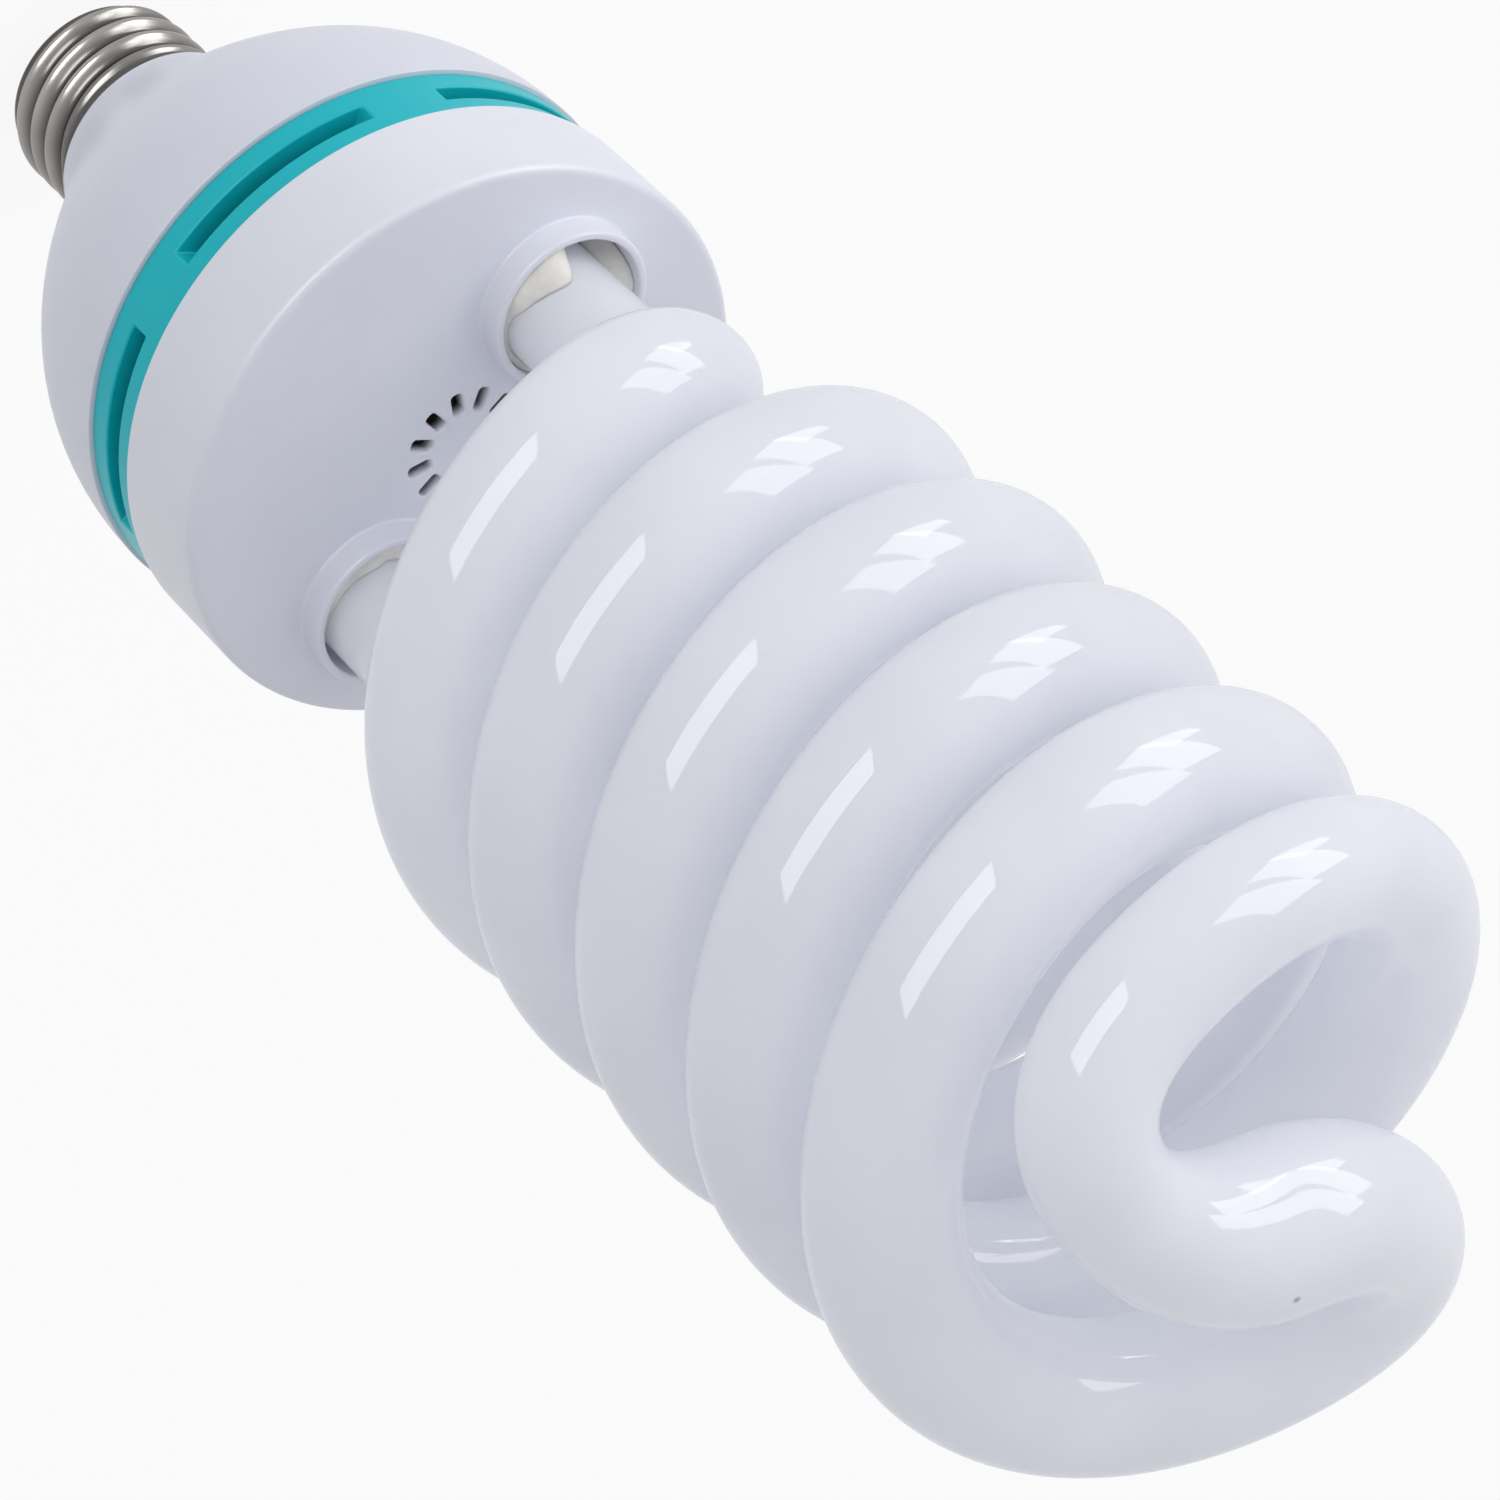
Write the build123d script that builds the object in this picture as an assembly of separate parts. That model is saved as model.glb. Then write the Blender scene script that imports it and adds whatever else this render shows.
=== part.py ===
"""Photo studio bulb: a spiral fluorescent lamp on a screw cap, in millimetres.

The origin is the tip of the centre contact. +Z runs along the axis to the closed end of the spiral,
and the two collars that hold the tube's legs lie on the X axis.
"""

import os
from math import cos, pi, radians, sin, sqrt

from build123d import *

# Screw cap: knuckle ridges rolled in thin sheet
thread_crest_radius = 13.2
thread_depth = 1.1
thread_pitch = 3.63
thread_turns = 4
shell_wall = 0.35
skirt_margin = 0.1
skirt_height = 2.4
lip_width = 1.15
contact_radius = 4.8
contact_flat_radius = 2.2
contact_height = 1.6
contact_rim = 0.6
contact_dome_rise = 0.4
insulator_margin = 0.8
insulator_cone_height = 4.2
insulator_plug_height = 3.0
cap_clearance = 0.15

# Plastic body: the cover is widest, and the housing's rim and the ring stand back from it
body_radius = 38.4
rim_setback = 0.3
ring_setback = 0.8
plastic_wall = 1.8

# Lower housing: a bell from the cap to the ring
neck_shoulder = 1.0
neck_depth = 6.0
bowl_height = 48.8
bell_start_spread = 0.25
bell_start_rise = 0.30
bell_shoulder_rise = 0.50
bell_arc_pairs = 2
board_ledge_depth = 1.6
board_ledge_width = 1.8
ledge_slope = 3.0

# Vent ring between housing and cover
ring_wall = 2.0
ring_height = 9.6
ring_slot_count = 6
ring_slot_arc = 44.5
ring_slot_height = 2.7
tongue_height = 2.6
tongue_wall = 1.5
ring_clearance = 0.15

# Upper cover with its collars and centre vents
cover_height = 15.0
cover_edge_radius = 2.6
face_thickness = 2.0
collar_spread_share = 0.565
collar_wall = 1.1
collar_height = 3.8
collar_depth = 9.0
collar_lip_radius = 0.45
face_vent_count = 12
face_vent_length = 3.2
face_vent_width = 1.2
face_vent_circle_radius = 6.5

# Spiral tube: two right-handed strands that meet in an S-bend on the axis
tube_radius = 8.0
spiral_radius = 34.4
spiral_arc_pairs = 16
spiral_lead = 43.6
strand_rise = 33.7
strand_start_angle = 50.0
strand_end_angle = 956.6
leg_end_depth = 12.0
leg_straight_rise = 10.9
leg_bend_pull = 29.0
leg_bend_arc_pairs = 3
strand_start_pull = 20.1
bend_end_pull = 22.6
bend_middle_pull = 16.8
bend_middle_angle = -58.0
bend_lift = 9.32
bend_swell = 2.1
bend_swell_reach = 27.0
bend_ring_count = 6
tube_end_fillet = 2.0

# Cement in the collars: a ring left open towards the outside
cement_room = 1.6
cement_gap = 0.1
cement_open_arc = 70.0
cement_depth = 1.2
cement_height = 6.0

# Ballast: parts near the board's edge are placed from the housing's ledge
board_thickness = 1.6
board_clearance = 0.2
pin_size = 1.0
pin_height = 8.0
pin_spread = 3.5
pin_foot_depth = 0.8
lead_radius = 0.4
wire_radius = 0.8
wire_clearance = 0.3
shell_wire_offset = 3.2
shell_wire_bend = 3.0
capacitor_radius = 8.0
capacitor_length = 28.0
capacitor_groove = 0.5
capacitor_groove_depth = 2.0
capacitor_gap = 1.4
capacitor_row = 9.4
choke_offset = 5.0
choke_row = -13.5
bobbin_size = 12.5
bobbin_height = 15.0
bobbin_core_size = 6.0
bobbin_flange = 1.2
bobbin_wall = 1.0
winding_margin = 1.2
core_depth = 5.6
core_leg = 3.2
core_side_gap = 1.0
choke_clearance = 0.2
toroid_angle = 235.0
toroid_inset = 7.3
toroid_radius = 5.0
toroid_bore_radius = 2.6
toroid_height = 4.5
toroid_winding_count = 3
toroid_winding_arc = 60.0
toroid_winding_wall = 0.9
transistor_inset = 9.6
transistor_row = -4.0
transistor_width = 10.0
transistor_body_depth = 4.4
transistor_body_height = 9.0
transistor_tab_wall = 1.3
transistor_tab_height = 15.6
transistor_lead_length = 3.5
transistor_lead_size = 0.8
transistor_lead_pitch = 2.54
heat_sink_width = 14.0
heat_sink_wall = 1.5
heat_sink_height = 19.0
film_capacitor_inset = 4.6
film_capacitor_length = 13.0
film_capacitor_depth = 6.0
film_capacitor_height = 12.0
film_capacitor_edge = 1.0
resonant_angle = 32.0
blocking_angle = 148.0
inductor_offset = 3.0
inductor_inset = 7.2
inductor_radius = 4.5
inductor_height = 10.0
inductor_flange = 1.5
inductor_groove = 1.1
fuse_offset = 10.5
fuse_inset = 7.5
fuse_radius = 1.8
fuse_length = 9.0
diode_offset = -8.0
diode_inset = 8.5
diode_radius = 1.35
diode_length = 4.2
diode_pitch = 3.0
diode_count = 4

# Levels along the axis
cone_level = contact_height
lip_level = cone_level + insulator_cone_height
thread_height = thread_turns * thread_pitch
web_level = lip_level + thread_height
neck_level = web_level + skirt_height
rim_level = neck_level + bowl_height
cover_level = rim_level + ring_height
face_level = cover_level + cover_height
board_level = rim_level - board_ledge_depth
board_top = board_level + board_thickness
leg_end_level = face_level - leg_end_depth

# Radii that follow from the sizes above
thread_root_radius = thread_crest_radius - thread_depth
shell_bore_radius = thread_root_radius - shell_wall
lip_bore_radius = shell_bore_radius - lip_width
skirt_radius = thread_crest_radius + skirt_margin
neck_base_radius = skirt_radius + neck_shoulder
housing_rim_radius = body_radius - rim_setback
ring_radius = body_radius - ring_setback
tongue_radius = ring_radius - ring_wall - ring_clearance
tongue_bore_radius = tongue_radius - tongue_wall
ledge_radius = tongue_bore_radius - board_ledge_width
collar_bore_radius = tube_radius + cement_room
collar_radius = collar_bore_radius + collar_wall
collar_spread = collar_spread_share * body_radius
upright = (Align.CENTER, Align.CENTER, Align.MIN)
hanging = (Align.CENTER, Align.CENTER, Align.MAX)


def turned(*curves):
    """Solid of revolution about Z from closed outline curves drawn in the XZ plane."""
    return revolve(make_face(curves), Axis.Z)


def outline(*points):
    """Straight outline in the XZ plane through (radius, height) points."""
    return Polyline(*[(radius, 0, height) for radius, height in points])


def edge_arc(radius, level, size):
    """Quarter round in the XZ plane from an upright wall over to a level face."""
    diagonal = size * cos(radians(45))
    middle = (radius - size + diagonal, 0, level + diagonal)
    return ThreePointArc((radius, 0, level), middle, (radius - size, 0, level + size))


def tube(radius, bore, low, high):
    """Plain round sleeve between two levels."""
    height = high - low
    return Pos(0, 0, low) * (Cylinder(radius, height, align=upright) - Cylinder(bore, height, align=upright))


def half_turn(shape):
    """The shape on the other side of the axis."""
    return Rot(0, 0, 180) * shape


def arc_pair(start, start_way, end, end_way):
    """Two tangent arcs between two points, leaving and arriving along unit directions."""
    across = end - start
    turn = 2 * (1 - start_way.dot(end_way))
    gain = across.dot(start_way + end_way)
    reach = across.dot(across) / (gain + sqrt(gain**2 + turn * across.dot(across)))
    start_corner = start + start_way * reach
    end_corner = end - end_way * reach
    middle = (start_corner + end_corner) / 2
    first = Edge.make_tangent_arc(start, start_way, middle)
    return [first, Edge.make_tangent_arc(middle, end_corner - start_corner, end)]


def arc_chain(guide, pairs):
    """Tangent arcs that follow a guide curve, in pairs of equal travel."""
    edges = []
    for index in range(pairs):
        low, high = index / pairs, (index + 1) / pairs
        edges += arc_pair(guide @ low, guide % low, guide @ high, guide % high)
    return edges


def ridged_core(inset):
    """Knuckle ridges turned from arcs, crest first from the lip up, and solid to the axis."""
    middle = thread_crest_radius - thread_depth / 2 - inset
    half_pitch = thread_pitch / 2
    arcs = []
    for index in range(2 * thread_turns):
        low = lip_level + index * half_pitch
        bulge = thread_depth / 2 * (-1) ** index
        peak = (middle + bulge, 0, low + half_pitch / 2)
        arcs.append(ThreePointArc((middle, 0, low), peak, (middle, 0, low + half_pitch)))
    closing = outline((middle, web_level), (0, web_level), (0, lip_level), (middle, lip_level))
    return turned(*arcs, closing)


def screw_shell():
    """Ridges and skirt rolled in one sheet, with a lip at the lower end."""
    blank = ridged_core(0) + Pos(0, 0, web_level) * Cylinder(skirt_radius, skirt_height, align=upright)
    lip = Pos(0, 0, lip_level) * Cylinder(thread_crest_radius, shell_wall, align=upright)
    skirt_bore = Cylinder(skirt_radius - shell_wall, skirt_height, align=upright)
    throat = Cylinder(shell_bore_radius, skirt_height, align=upright)
    mouth = Cylinder(lip_bore_radius, thread_pitch, align=upright)
    blank -= ridged_core(shell_wall) - lip
    blank -= Pos(0, 0, web_level + shell_wall) * skirt_bore
    blank -= Pos(0, 0, web_level) * throat
    return blank - Pos(0, 0, lip_level) * mouth


def cap_insulator():
    seat = lip_level + shell_wall
    throat = lip_bore_radius - cap_clearance
    plug = shell_bore_radius - cap_clearance
    hole = wire_radius + wire_clearance
    return turned(
        outline(
            (hole, cone_level),
            (contact_radius + insulator_margin, cone_level),
            (throat, lip_level),
            (throat, seat),
            (plug, seat),
            (plug, seat + insulator_plug_height),
            (hole, seat + insulator_plug_height),
            (hole, cone_level),
        )
    )


def centre_contact():
    rim = contact_height - contact_rim
    crown = ((contact_flat_radius + contact_radius) / 2, 0, contact_dome_rise)
    dome = ThreePointArc((contact_flat_radius, 0, 0), crown, (contact_radius, 0, rim))
    back = outline((contact_radius, rim), (contact_radius, contact_height), (0, contact_height))
    front = outline((0, contact_height), (0, 0), (contact_flat_radius, 0))
    return turned(dome, back, front)


def bell_curve(low, high, inset):
    """Bell outline from its narrow end up to the level where the wall stands upright."""
    spread = housing_rim_radius - neck_base_radius
    start = (
        neck_base_radius + bell_start_spread * spread - inset,
        0,
        neck_level + bell_start_rise * bowl_height + inset * bell_start_spread,
    )
    shoulder = (housing_rim_radius - inset, 0, neck_level + bell_shoulder_rise * bowl_height)
    guide = Bezier((low[0], 0, low[1]), start, shoulder, (high[0], 0, high[1]))
    return arc_chain(guide, bell_arc_pairs)


def lower_housing():
    neck_end = web_level - neck_depth
    neck_radius = shell_bore_radius - cap_clearance
    neck_bore_radius = neck_radius - plastic_wall
    neck_seat = skirt_radius - shell_wall - cap_clearance
    step_level = web_level + shell_wall
    ledge_bottom = board_level - board_ledge_width
    wall_radius = housing_rim_radius - plastic_wall
    slope_level = ledge_bottom - ledge_slope
    tongue_level = rim_level + tongue_height
    inner_low = (neck_bore_radius, neck_level + plastic_wall)
    outer = bell_curve((neck_base_radius, neck_level), (housing_rim_radius, rim_level), 0)
    inner = bell_curve(inner_low, (wall_radius, slope_level), plastic_wall)
    top = outline(
        (housing_rim_radius, rim_level),
        (tongue_radius, rim_level),
        (tongue_radius, tongue_level),
        (tongue_bore_radius, tongue_level),
        (tongue_bore_radius, board_level),
        (ledge_radius, board_level),
        (ledge_radius, ledge_bottom),
        (wall_radius, slope_level),
    )
    neck = outline(
        inner_low,
        (neck_bore_radius, neck_end),
        (neck_radius, neck_end),
        (neck_radius, step_level),
        (neck_seat, step_level),
        (neck_seat, neck_level),
        (neck_base_radius, neck_level),
    )
    return turned(*outer, top, *inner, neck)


def vent_ring():
    ring = tube(ring_radius, ring_radius - ring_wall, rim_level, cover_level)
    slot_low = (rim_level + cover_level - ring_slot_height) / 2
    slot_outline = outline(
        (ring_radius - 2 * ring_wall, slot_low),
        (ring_radius + ring_wall, slot_low),
        (ring_radius + ring_wall, slot_low + ring_slot_height),
        (ring_radius - 2 * ring_wall, slot_low + ring_slot_height),
        (ring_radius - 2 * ring_wall, slot_low),
    )
    slot = Rot(0, 0, -ring_slot_arc / 2) * revolve(make_face(slot_outline), Axis.Z, ring_slot_arc)
    for index in range(ring_slot_count):
        ring -= Rot(0, 0, 360 * index / ring_slot_count) * slot
    return ring


def upper_cover():
    inner_radius = body_radius - plastic_wall
    inner_face = face_level - face_thickness
    edge_level = face_level - cover_edge_radius
    tongue_level = cover_level - tongue_height
    round_edge = edge_arc(body_radius, edge_level, cover_edge_radius)
    wall = outline(
        (tongue_bore_radius, tongue_level),
        (tongue_radius, tongue_level),
        (tongue_radius, cover_level),
        (body_radius, cover_level),
        (body_radius, edge_level),
    )
    inside = outline(
        (body_radius - cover_edge_radius, face_level),
        (0, face_level),
        (0, inner_face),
        (inner_radius, inner_face),
        (inner_radius, cover_level + 2 * plastic_wall),
        (tongue_bore_radius, cover_level + plastic_wall),
        (tongue_bore_radius, tongue_level),
    )
    cover = turned(wall, round_edge, inside)
    collar_top = face_level + collar_height
    collar = tube(collar_radius, collar_bore_radius, face_level - collar_depth, collar_top)
    collar = fillet(collar.faces().sort_by(Axis.Z)[-1].edges(), collar_lip_radius)
    bore = Pos(0, 0, face_level) * Cylinder(collar_bore_radius, collar_depth, align=hanging)
    for side in (-collar_spread, collar_spread):
        cover = cover - Pos(side, 0, 0) * bore + Pos(side, 0, 0) * collar
    vent_place = Pos(face_vent_circle_radius, 0, face_level)
    vent = vent_place * Box(face_vent_length, face_vent_width, face_thickness, align=hanging)
    for index in range(face_vent_count):
        cover -= Rot(0, 0, 360 * (index + 0.5) / face_vent_count) * vent
    return cover


def strand_point(angle):
    """Centre of the tube on the spiral, at an angle turned since the strand's collar."""
    turn = radians(180 + angle)
    height = face_level + strand_rise + spiral_lead * angle / 360
    return Vector(spiral_radius * cos(turn), spiral_radius * sin(turn), height)


def strand_direction(angle):
    """Direction along the spiral for one unit of travel round the axis."""
    turn = radians(180 + angle)
    return Vector(-sin(turn), cos(turn), spiral_lead / (2 * pi * spiral_radius))


def strand_path():
    """Centre line of one strand up to the S-bend: leg, lead-in and spiral."""
    foot = Vector(-collar_spread, 0, leg_end_level)
    knee = Vector(-collar_spread, 0, face_level + leg_straight_rise)
    start = strand_point(strand_start_angle)
    end = strand_point(strand_end_angle)
    start_pull = strand_direction(strand_start_angle).normalized() * strand_start_pull
    lead_in = Bezier(knee, knee + Vector(0, 0, leg_bend_pull), start - start_pull, start)
    turns = Helix(spiral_lead, end.Z - start.Z, spiral_radius)
    spiral = Pos(0, 0, start.Z) * Rot(0, 0, 180 + strand_start_angle) * turns
    edges = [Edge.make_line(foot, knee)]
    edges += arc_chain(lead_in, leg_bend_arc_pairs)
    return edges + arc_chain(spiral, spiral_arc_pairs)


def tube_ring(place, way, radius):
    """Cross-section of the tube, square to its way."""
    return Plane(place, x_dir=way.cross(Vector(0, 0, 1)), z_dir=way) * Circle(radius)


def bend_rings():
    """Cross-sections from strand to strand: the S-bend swells towards its middle on the axis."""
    end = strand_point(strand_end_angle)
    top = Vector(0, 0, end.Z + bend_lift)
    middle_turn = radians(bend_middle_angle)
    middle = Vector(cos(middle_turn), sin(middle_turn), 0)
    bend_start = end + strand_direction(strand_end_angle) * bend_end_pull
    bend = Bezier(end, bend_start, top - middle * bend_middle_pull, top)
    near, far = [], []
    for index in range(bend_ring_count):
        share = index / bend_ring_count
        closeness = max(0, 1 - bend.length * (1 - share) / bend_swell_reach)
        radius = tube_radius + bend_swell * sin(radians(90 * closeness)) ** 2
        place, way = bend @ share, bend % share
        near.append(tube_ring(place, way, radius))
        far.append(tube_ring(Vector(-place.X, -place.Y, place.Z), Vector(way.X, way.Y, -way.Z), radius))
    return near + [tube_ring(top, middle, tube_radius + bend_swell)] + far[::-1]


def spiral_tube():
    strand = sweep(Pos(-collar_spread, 0, leg_end_level) * Circle(tube_radius), path=Wire(strand_path()))
    strand = fillet(strand.faces().sort_by(Axis.Z)[0].edges(), tube_end_fillet)
    return strand + loft(bend_rings()) + half_turn(strand)


def tube_cement():
    """Cement round the leg on the -X side."""
    top = face_level + collar_height - cement_depth
    inner = tube_radius + cement_gap
    outer = collar_bore_radius - cement_gap
    section = outline((inner, top - cement_height), (outer, top - cement_height), (outer, top), (inner, top))
    closing = outline((inner, top), (inner, top - cement_height))
    ring = revolve(make_face([section, closing]), Axis.Z, 360 - cement_open_arc)
    return Pos(-collar_spread, 0, 0) * Rot(0, 0, 180 + cement_open_arc / 2) * ring


def pin_places():
    """The four wire-wrap pins, two under each leg."""
    sides = (-collar_spread, collar_spread)
    return [(side, offset) for side in sides for offset in (-pin_spread, pin_spread)]


def circuit_board():
    board = Pos(0, 0, board_level) * Cylinder(
        tongue_bore_radius - board_clearance, board_thickness, align=upright
    )
    socket = Pos(0, 0, board_top) * Cylinder(pin_size + wire_clearance, pin_foot_depth, align=hanging)
    for x, y in pin_places():
        board -= Pos(x, y, 0) * socket
    return board


def wrap_pins():
    """Square pins, each with a round foot in the board and a flange on it."""
    foot = Cylinder(pin_size, pin_foot_depth, align=hanging)
    post = Box(pin_size, pin_size, pin_height, align=upright)
    flange = Cylinder(2 * pin_size, pin_size, align=upright)
    pin = Pos(0, 0, board_top) * (foot + post + flange)
    return Compound([Pos(x, y, 0) * pin.solid() for x, y in pin_places()])


def filament_leads():
    low = board_top + pin_height
    wire = Pos(0, 0, low) * Cylinder(lead_radius, leg_end_level - low, align=upright)
    return Compound([Pos(x, y, 0) * wire.solid() for x, y in pin_places()])


def contact_wire():
    return Pos(0, 0, contact_height) * Cylinder(wire_radius, board_level - contact_height, align=upright)


def shell_wire():
    """Runs down the neck and turns out to the inside of the shell."""
    plug_top = lip_level + shell_wall + insulator_plug_height
    end_level = (plug_top + web_level - neck_depth) / 2
    route = FilletPolyline(
        (0, shell_wire_offset, board_level),
        (0, shell_wire_offset, end_level),
        (0, shell_bore_radius - cap_clearance, end_level),
        radius=shell_wire_bend,
    )
    return sweep(Pos(0, shell_wire_offset, board_level) * Circle(wire_radius), path=route)


def smoothing_capacitor(side):
    """Electrolytic can with a rolled groove near its sealed end."""
    can = Pos(0, 0, board_level) * Cylinder(capacitor_radius, capacitor_length, align=hanging)
    groove = Torus(capacitor_radius, capacitor_groove)
    can -= Pos(0, 0, board_level - capacitor_groove_depth) * groove
    return Pos(side * (capacitor_radius + capacitor_gap / 2), capacitor_row, 0) * can


def square_sleeve(size, bore, height):
    return Box(size, size, height, align=hanging) - Box(bore, bore, height, align=hanging)


def choke_bobbin():
    tube_size = bobbin_core_size + 2 * bobbin_wall
    flange = square_sleeve(bobbin_size, bobbin_core_size, bobbin_flange)
    lower_flange = Pos(0, 0, bobbin_flange - bobbin_height) * flange
    spool = square_sleeve(tube_size, bobbin_core_size, bobbin_height) + flange + lower_flange
    return Pos(choke_offset, choke_row, board_level) * spool


def choke_winding():
    size = bobbin_size - winding_margin
    bore = bobbin_core_size + 2 * bobbin_wall + choke_clearance
    height = bobbin_height - 2 * bobbin_flange - choke_clearance
    coil = square_sleeve(size, bore, height)
    coil = fillet(coil.edges().filter_by(Axis.Z).group_by(SortBy.DISTANCE)[-1], winding_margin)
    return Pos(choke_offset, choke_row, board_level - bobbin_flange - choke_clearance / 2) * coil


def choke_core():
    """E-shaped ferrite whose middle leg stands in the bobbin."""
    leg_size = bobbin_core_size - choke_clearance
    yoke_top = -bobbin_height - choke_clearance / 2
    reach = bobbin_size / 2 + core_side_gap + core_leg / 2
    yoke = Pos(0, 0, yoke_top) * Box(2 * reach + core_leg, core_depth, core_leg, align=hanging)
    side_leg = Box(core_leg, core_depth, bobbin_height + choke_clearance, align=hanging)
    middle_leg = Box(leg_size, core_depth, bobbin_height + choke_clearance, align=hanging)
    core = yoke + middle_leg + Pos(-reach, 0, 0) * side_leg + Pos(reach, 0, 0) * side_leg
    return Pos(choke_offset, choke_row, board_level) * core


def toroid_place():
    return Rot(0, 0, toroid_angle) * Pos(ledge_radius - toroid_inset, 0, 0)


def toroid_core():
    level = board_level - toroid_winding_wall
    return toroid_place() * tube(toroid_radius, toroid_bore_radius, level - toroid_height, level)


def toroid_winding():
    """Short windings, each wrapped over the core's whole section."""
    width = toroid_radius - toroid_bore_radius
    loop = Rectangle(width + 2 * toroid_winding_wall, toroid_height + 2 * toroid_winding_wall)
    loop -= Rectangle(width + wire_clearance, toroid_height + wire_clearance)
    level = board_level - toroid_winding_wall - toroid_height / 2
    section = Pos(toroid_bore_radius + width / 2, 0, level) * Rot(90, 0, 0) * loop
    coil = revolve(section, Axis.Z, toroid_winding_arc).solid()
    turns = [Rot(0, 0, 360 * index / toroid_winding_count) for index in range(toroid_winding_count)]
    return toroid_place() * Compound([turn * coil for turn in turns])


def transistor():
    """Flat power package on three legs, its tab towards +X."""
    body = Box(transistor_body_depth, transistor_width, transistor_body_height, align=hanging)
    tab = Box(transistor_tab_wall, transistor_width, transistor_tab_height, align=hanging)
    case = body + Pos((transistor_body_depth - transistor_tab_wall) / 2, 0, 0) * tab
    lead = Box(transistor_lead_size, transistor_lead_size, transistor_lead_length, align=upright)
    for index in (-1, 0, 1):
        case += Pos(0, index * transistor_lead_pitch, 0) * lead
    return Pos(ledge_radius - transistor_inset, transistor_row, board_level - transistor_lead_length) * case


def heat_sink():
    """Plate behind the tab, standing on the board."""
    reach = ledge_radius - transistor_inset + (transistor_body_depth + heat_sink_wall) / 2
    return Pos(reach, transistor_row, board_level) * Box(
        heat_sink_wall, heat_sink_width, heat_sink_height, align=hanging
    )


def film_capacitor(angle):
    """Dipped block, set across a radius of the board."""
    block = Box(film_capacitor_depth, film_capacitor_length, film_capacitor_height, align=hanging)
    block = fillet(block.edges().filter_by(Axis.Z), film_capacitor_edge)
    return Rot(0, 0, angle) * Pos(ledge_radius - film_capacitor_inset, 0, board_level) * block


def filter_inductor():
    """Drum core with its winding between two flanges."""
    waist = Cylinder(inductor_radius - inductor_groove, inductor_height, align=hanging)
    flange = Cylinder(inductor_radius, inductor_flange, align=hanging)
    drum = waist + flange + Pos(0, 0, inductor_flange - inductor_height) * flange
    return Pos(inductor_offset, ledge_radius - inductor_inset, board_level) * drum


def fuse_resistor():
    body = Cylinder(fuse_radius, fuse_length, align=hanging)
    return Pos(fuse_offset, ledge_radius - fuse_inset, board_level) * body


def rectifier_diodes():
    """A row of small barrels that lie against the board."""
    diode = (Rot(90, 0, 0) * Cylinder(diode_radius, diode_length)).solid()
    row_start = diode_offset - diode_pitch * (diode_count - 1) / 2
    row_place = Pos(row_start, ledge_radius - diode_inset, board_level - diode_radius)
    return Compound([row_place * Pos(diode_pitch * index, 0, 0) * diode for index in range(diode_count)])


pieces = {
    "screw_shell": screw_shell(),
    "cap_insulator": cap_insulator(),
    "centre_contact": centre_contact(),
    "lower_housing": lower_housing(),
    "vent_ring": vent_ring(),
    "upper_cover": upper_cover(),
    "spiral_tube": spiral_tube(),
    "tube_cement_a": tube_cement(),
    "tube_cement_b": half_turn(tube_cement()),
    "circuit_board": circuit_board(),
    "wrap_pins": wrap_pins(),
    "filament_leads": filament_leads(),
    "contact_wire": contact_wire(),
    "shell_wire": shell_wire(),
    "smoothing_capacitor_a": smoothing_capacitor(-1),
    "smoothing_capacitor_b": smoothing_capacitor(1),
    "choke_core": choke_core(),
    "choke_bobbin": choke_bobbin(),
    "choke_winding": choke_winding(),
    "toroid_core": toroid_core(),
    "toroid_winding": toroid_winding(),
    "transistor_a": transistor(),
    "transistor_b": mirror(transistor(), about=Plane.YZ),
    "heat_sink_a": heat_sink(),
    "heat_sink_b": mirror(heat_sink(), about=Plane.YZ),
    "resonant_capacitor": film_capacitor(resonant_angle),
    "blocking_capacitor": film_capacitor(blocking_angle),
    "filter_inductor": filter_inductor(),
    "fuse_resistor": fuse_resistor(),
    "rectifier_diodes": rectifier_diodes(),
}

os.makedirs("parts", exist_ok=True)
for name, piece in pieces.items():
    export_step(piece, f"parts/{name}.step")
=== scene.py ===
"""Photo studio bulb: the looks of a spiral fluorescent lamp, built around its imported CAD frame.

Every length is in metres, in the CAD's own frame: the lamp's axis is +Z and its contact's tip is the origin.
"""

from math import cos, pi, radians, sin, tan, tau

import bmesh
import bpy
from bpy.props import FloatProperty, FloatVectorProperty, IntProperty, PointerProperty
from mathutils import Matrix, Vector, noise
from mathutils.geometry import delaunay_2d_cdt


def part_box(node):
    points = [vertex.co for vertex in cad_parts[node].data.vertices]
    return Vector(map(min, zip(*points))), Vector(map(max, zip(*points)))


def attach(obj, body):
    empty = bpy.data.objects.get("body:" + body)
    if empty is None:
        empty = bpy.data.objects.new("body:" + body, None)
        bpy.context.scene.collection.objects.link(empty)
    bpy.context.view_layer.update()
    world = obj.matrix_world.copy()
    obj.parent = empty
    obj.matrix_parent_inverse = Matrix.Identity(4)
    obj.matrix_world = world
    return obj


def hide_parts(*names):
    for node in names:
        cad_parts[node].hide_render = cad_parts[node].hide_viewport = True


bl_info = {
    "name": "Studio bulb",
    "version": (1, 0, 0),
    "blender": (4, 5, 0),
    "location": "View3D > Sidebar > Bulb",
    "description": "Builds the looks of a spiral fluorescent studio bulb around its CAD frame",
    "category": "Object",
}

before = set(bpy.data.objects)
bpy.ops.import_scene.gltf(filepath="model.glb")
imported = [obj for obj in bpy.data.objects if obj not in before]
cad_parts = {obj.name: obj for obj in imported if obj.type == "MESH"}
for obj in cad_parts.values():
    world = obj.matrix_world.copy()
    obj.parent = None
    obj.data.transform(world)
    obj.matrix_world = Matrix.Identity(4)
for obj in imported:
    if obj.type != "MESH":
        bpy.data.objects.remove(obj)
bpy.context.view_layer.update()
BODY = "root"

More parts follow.
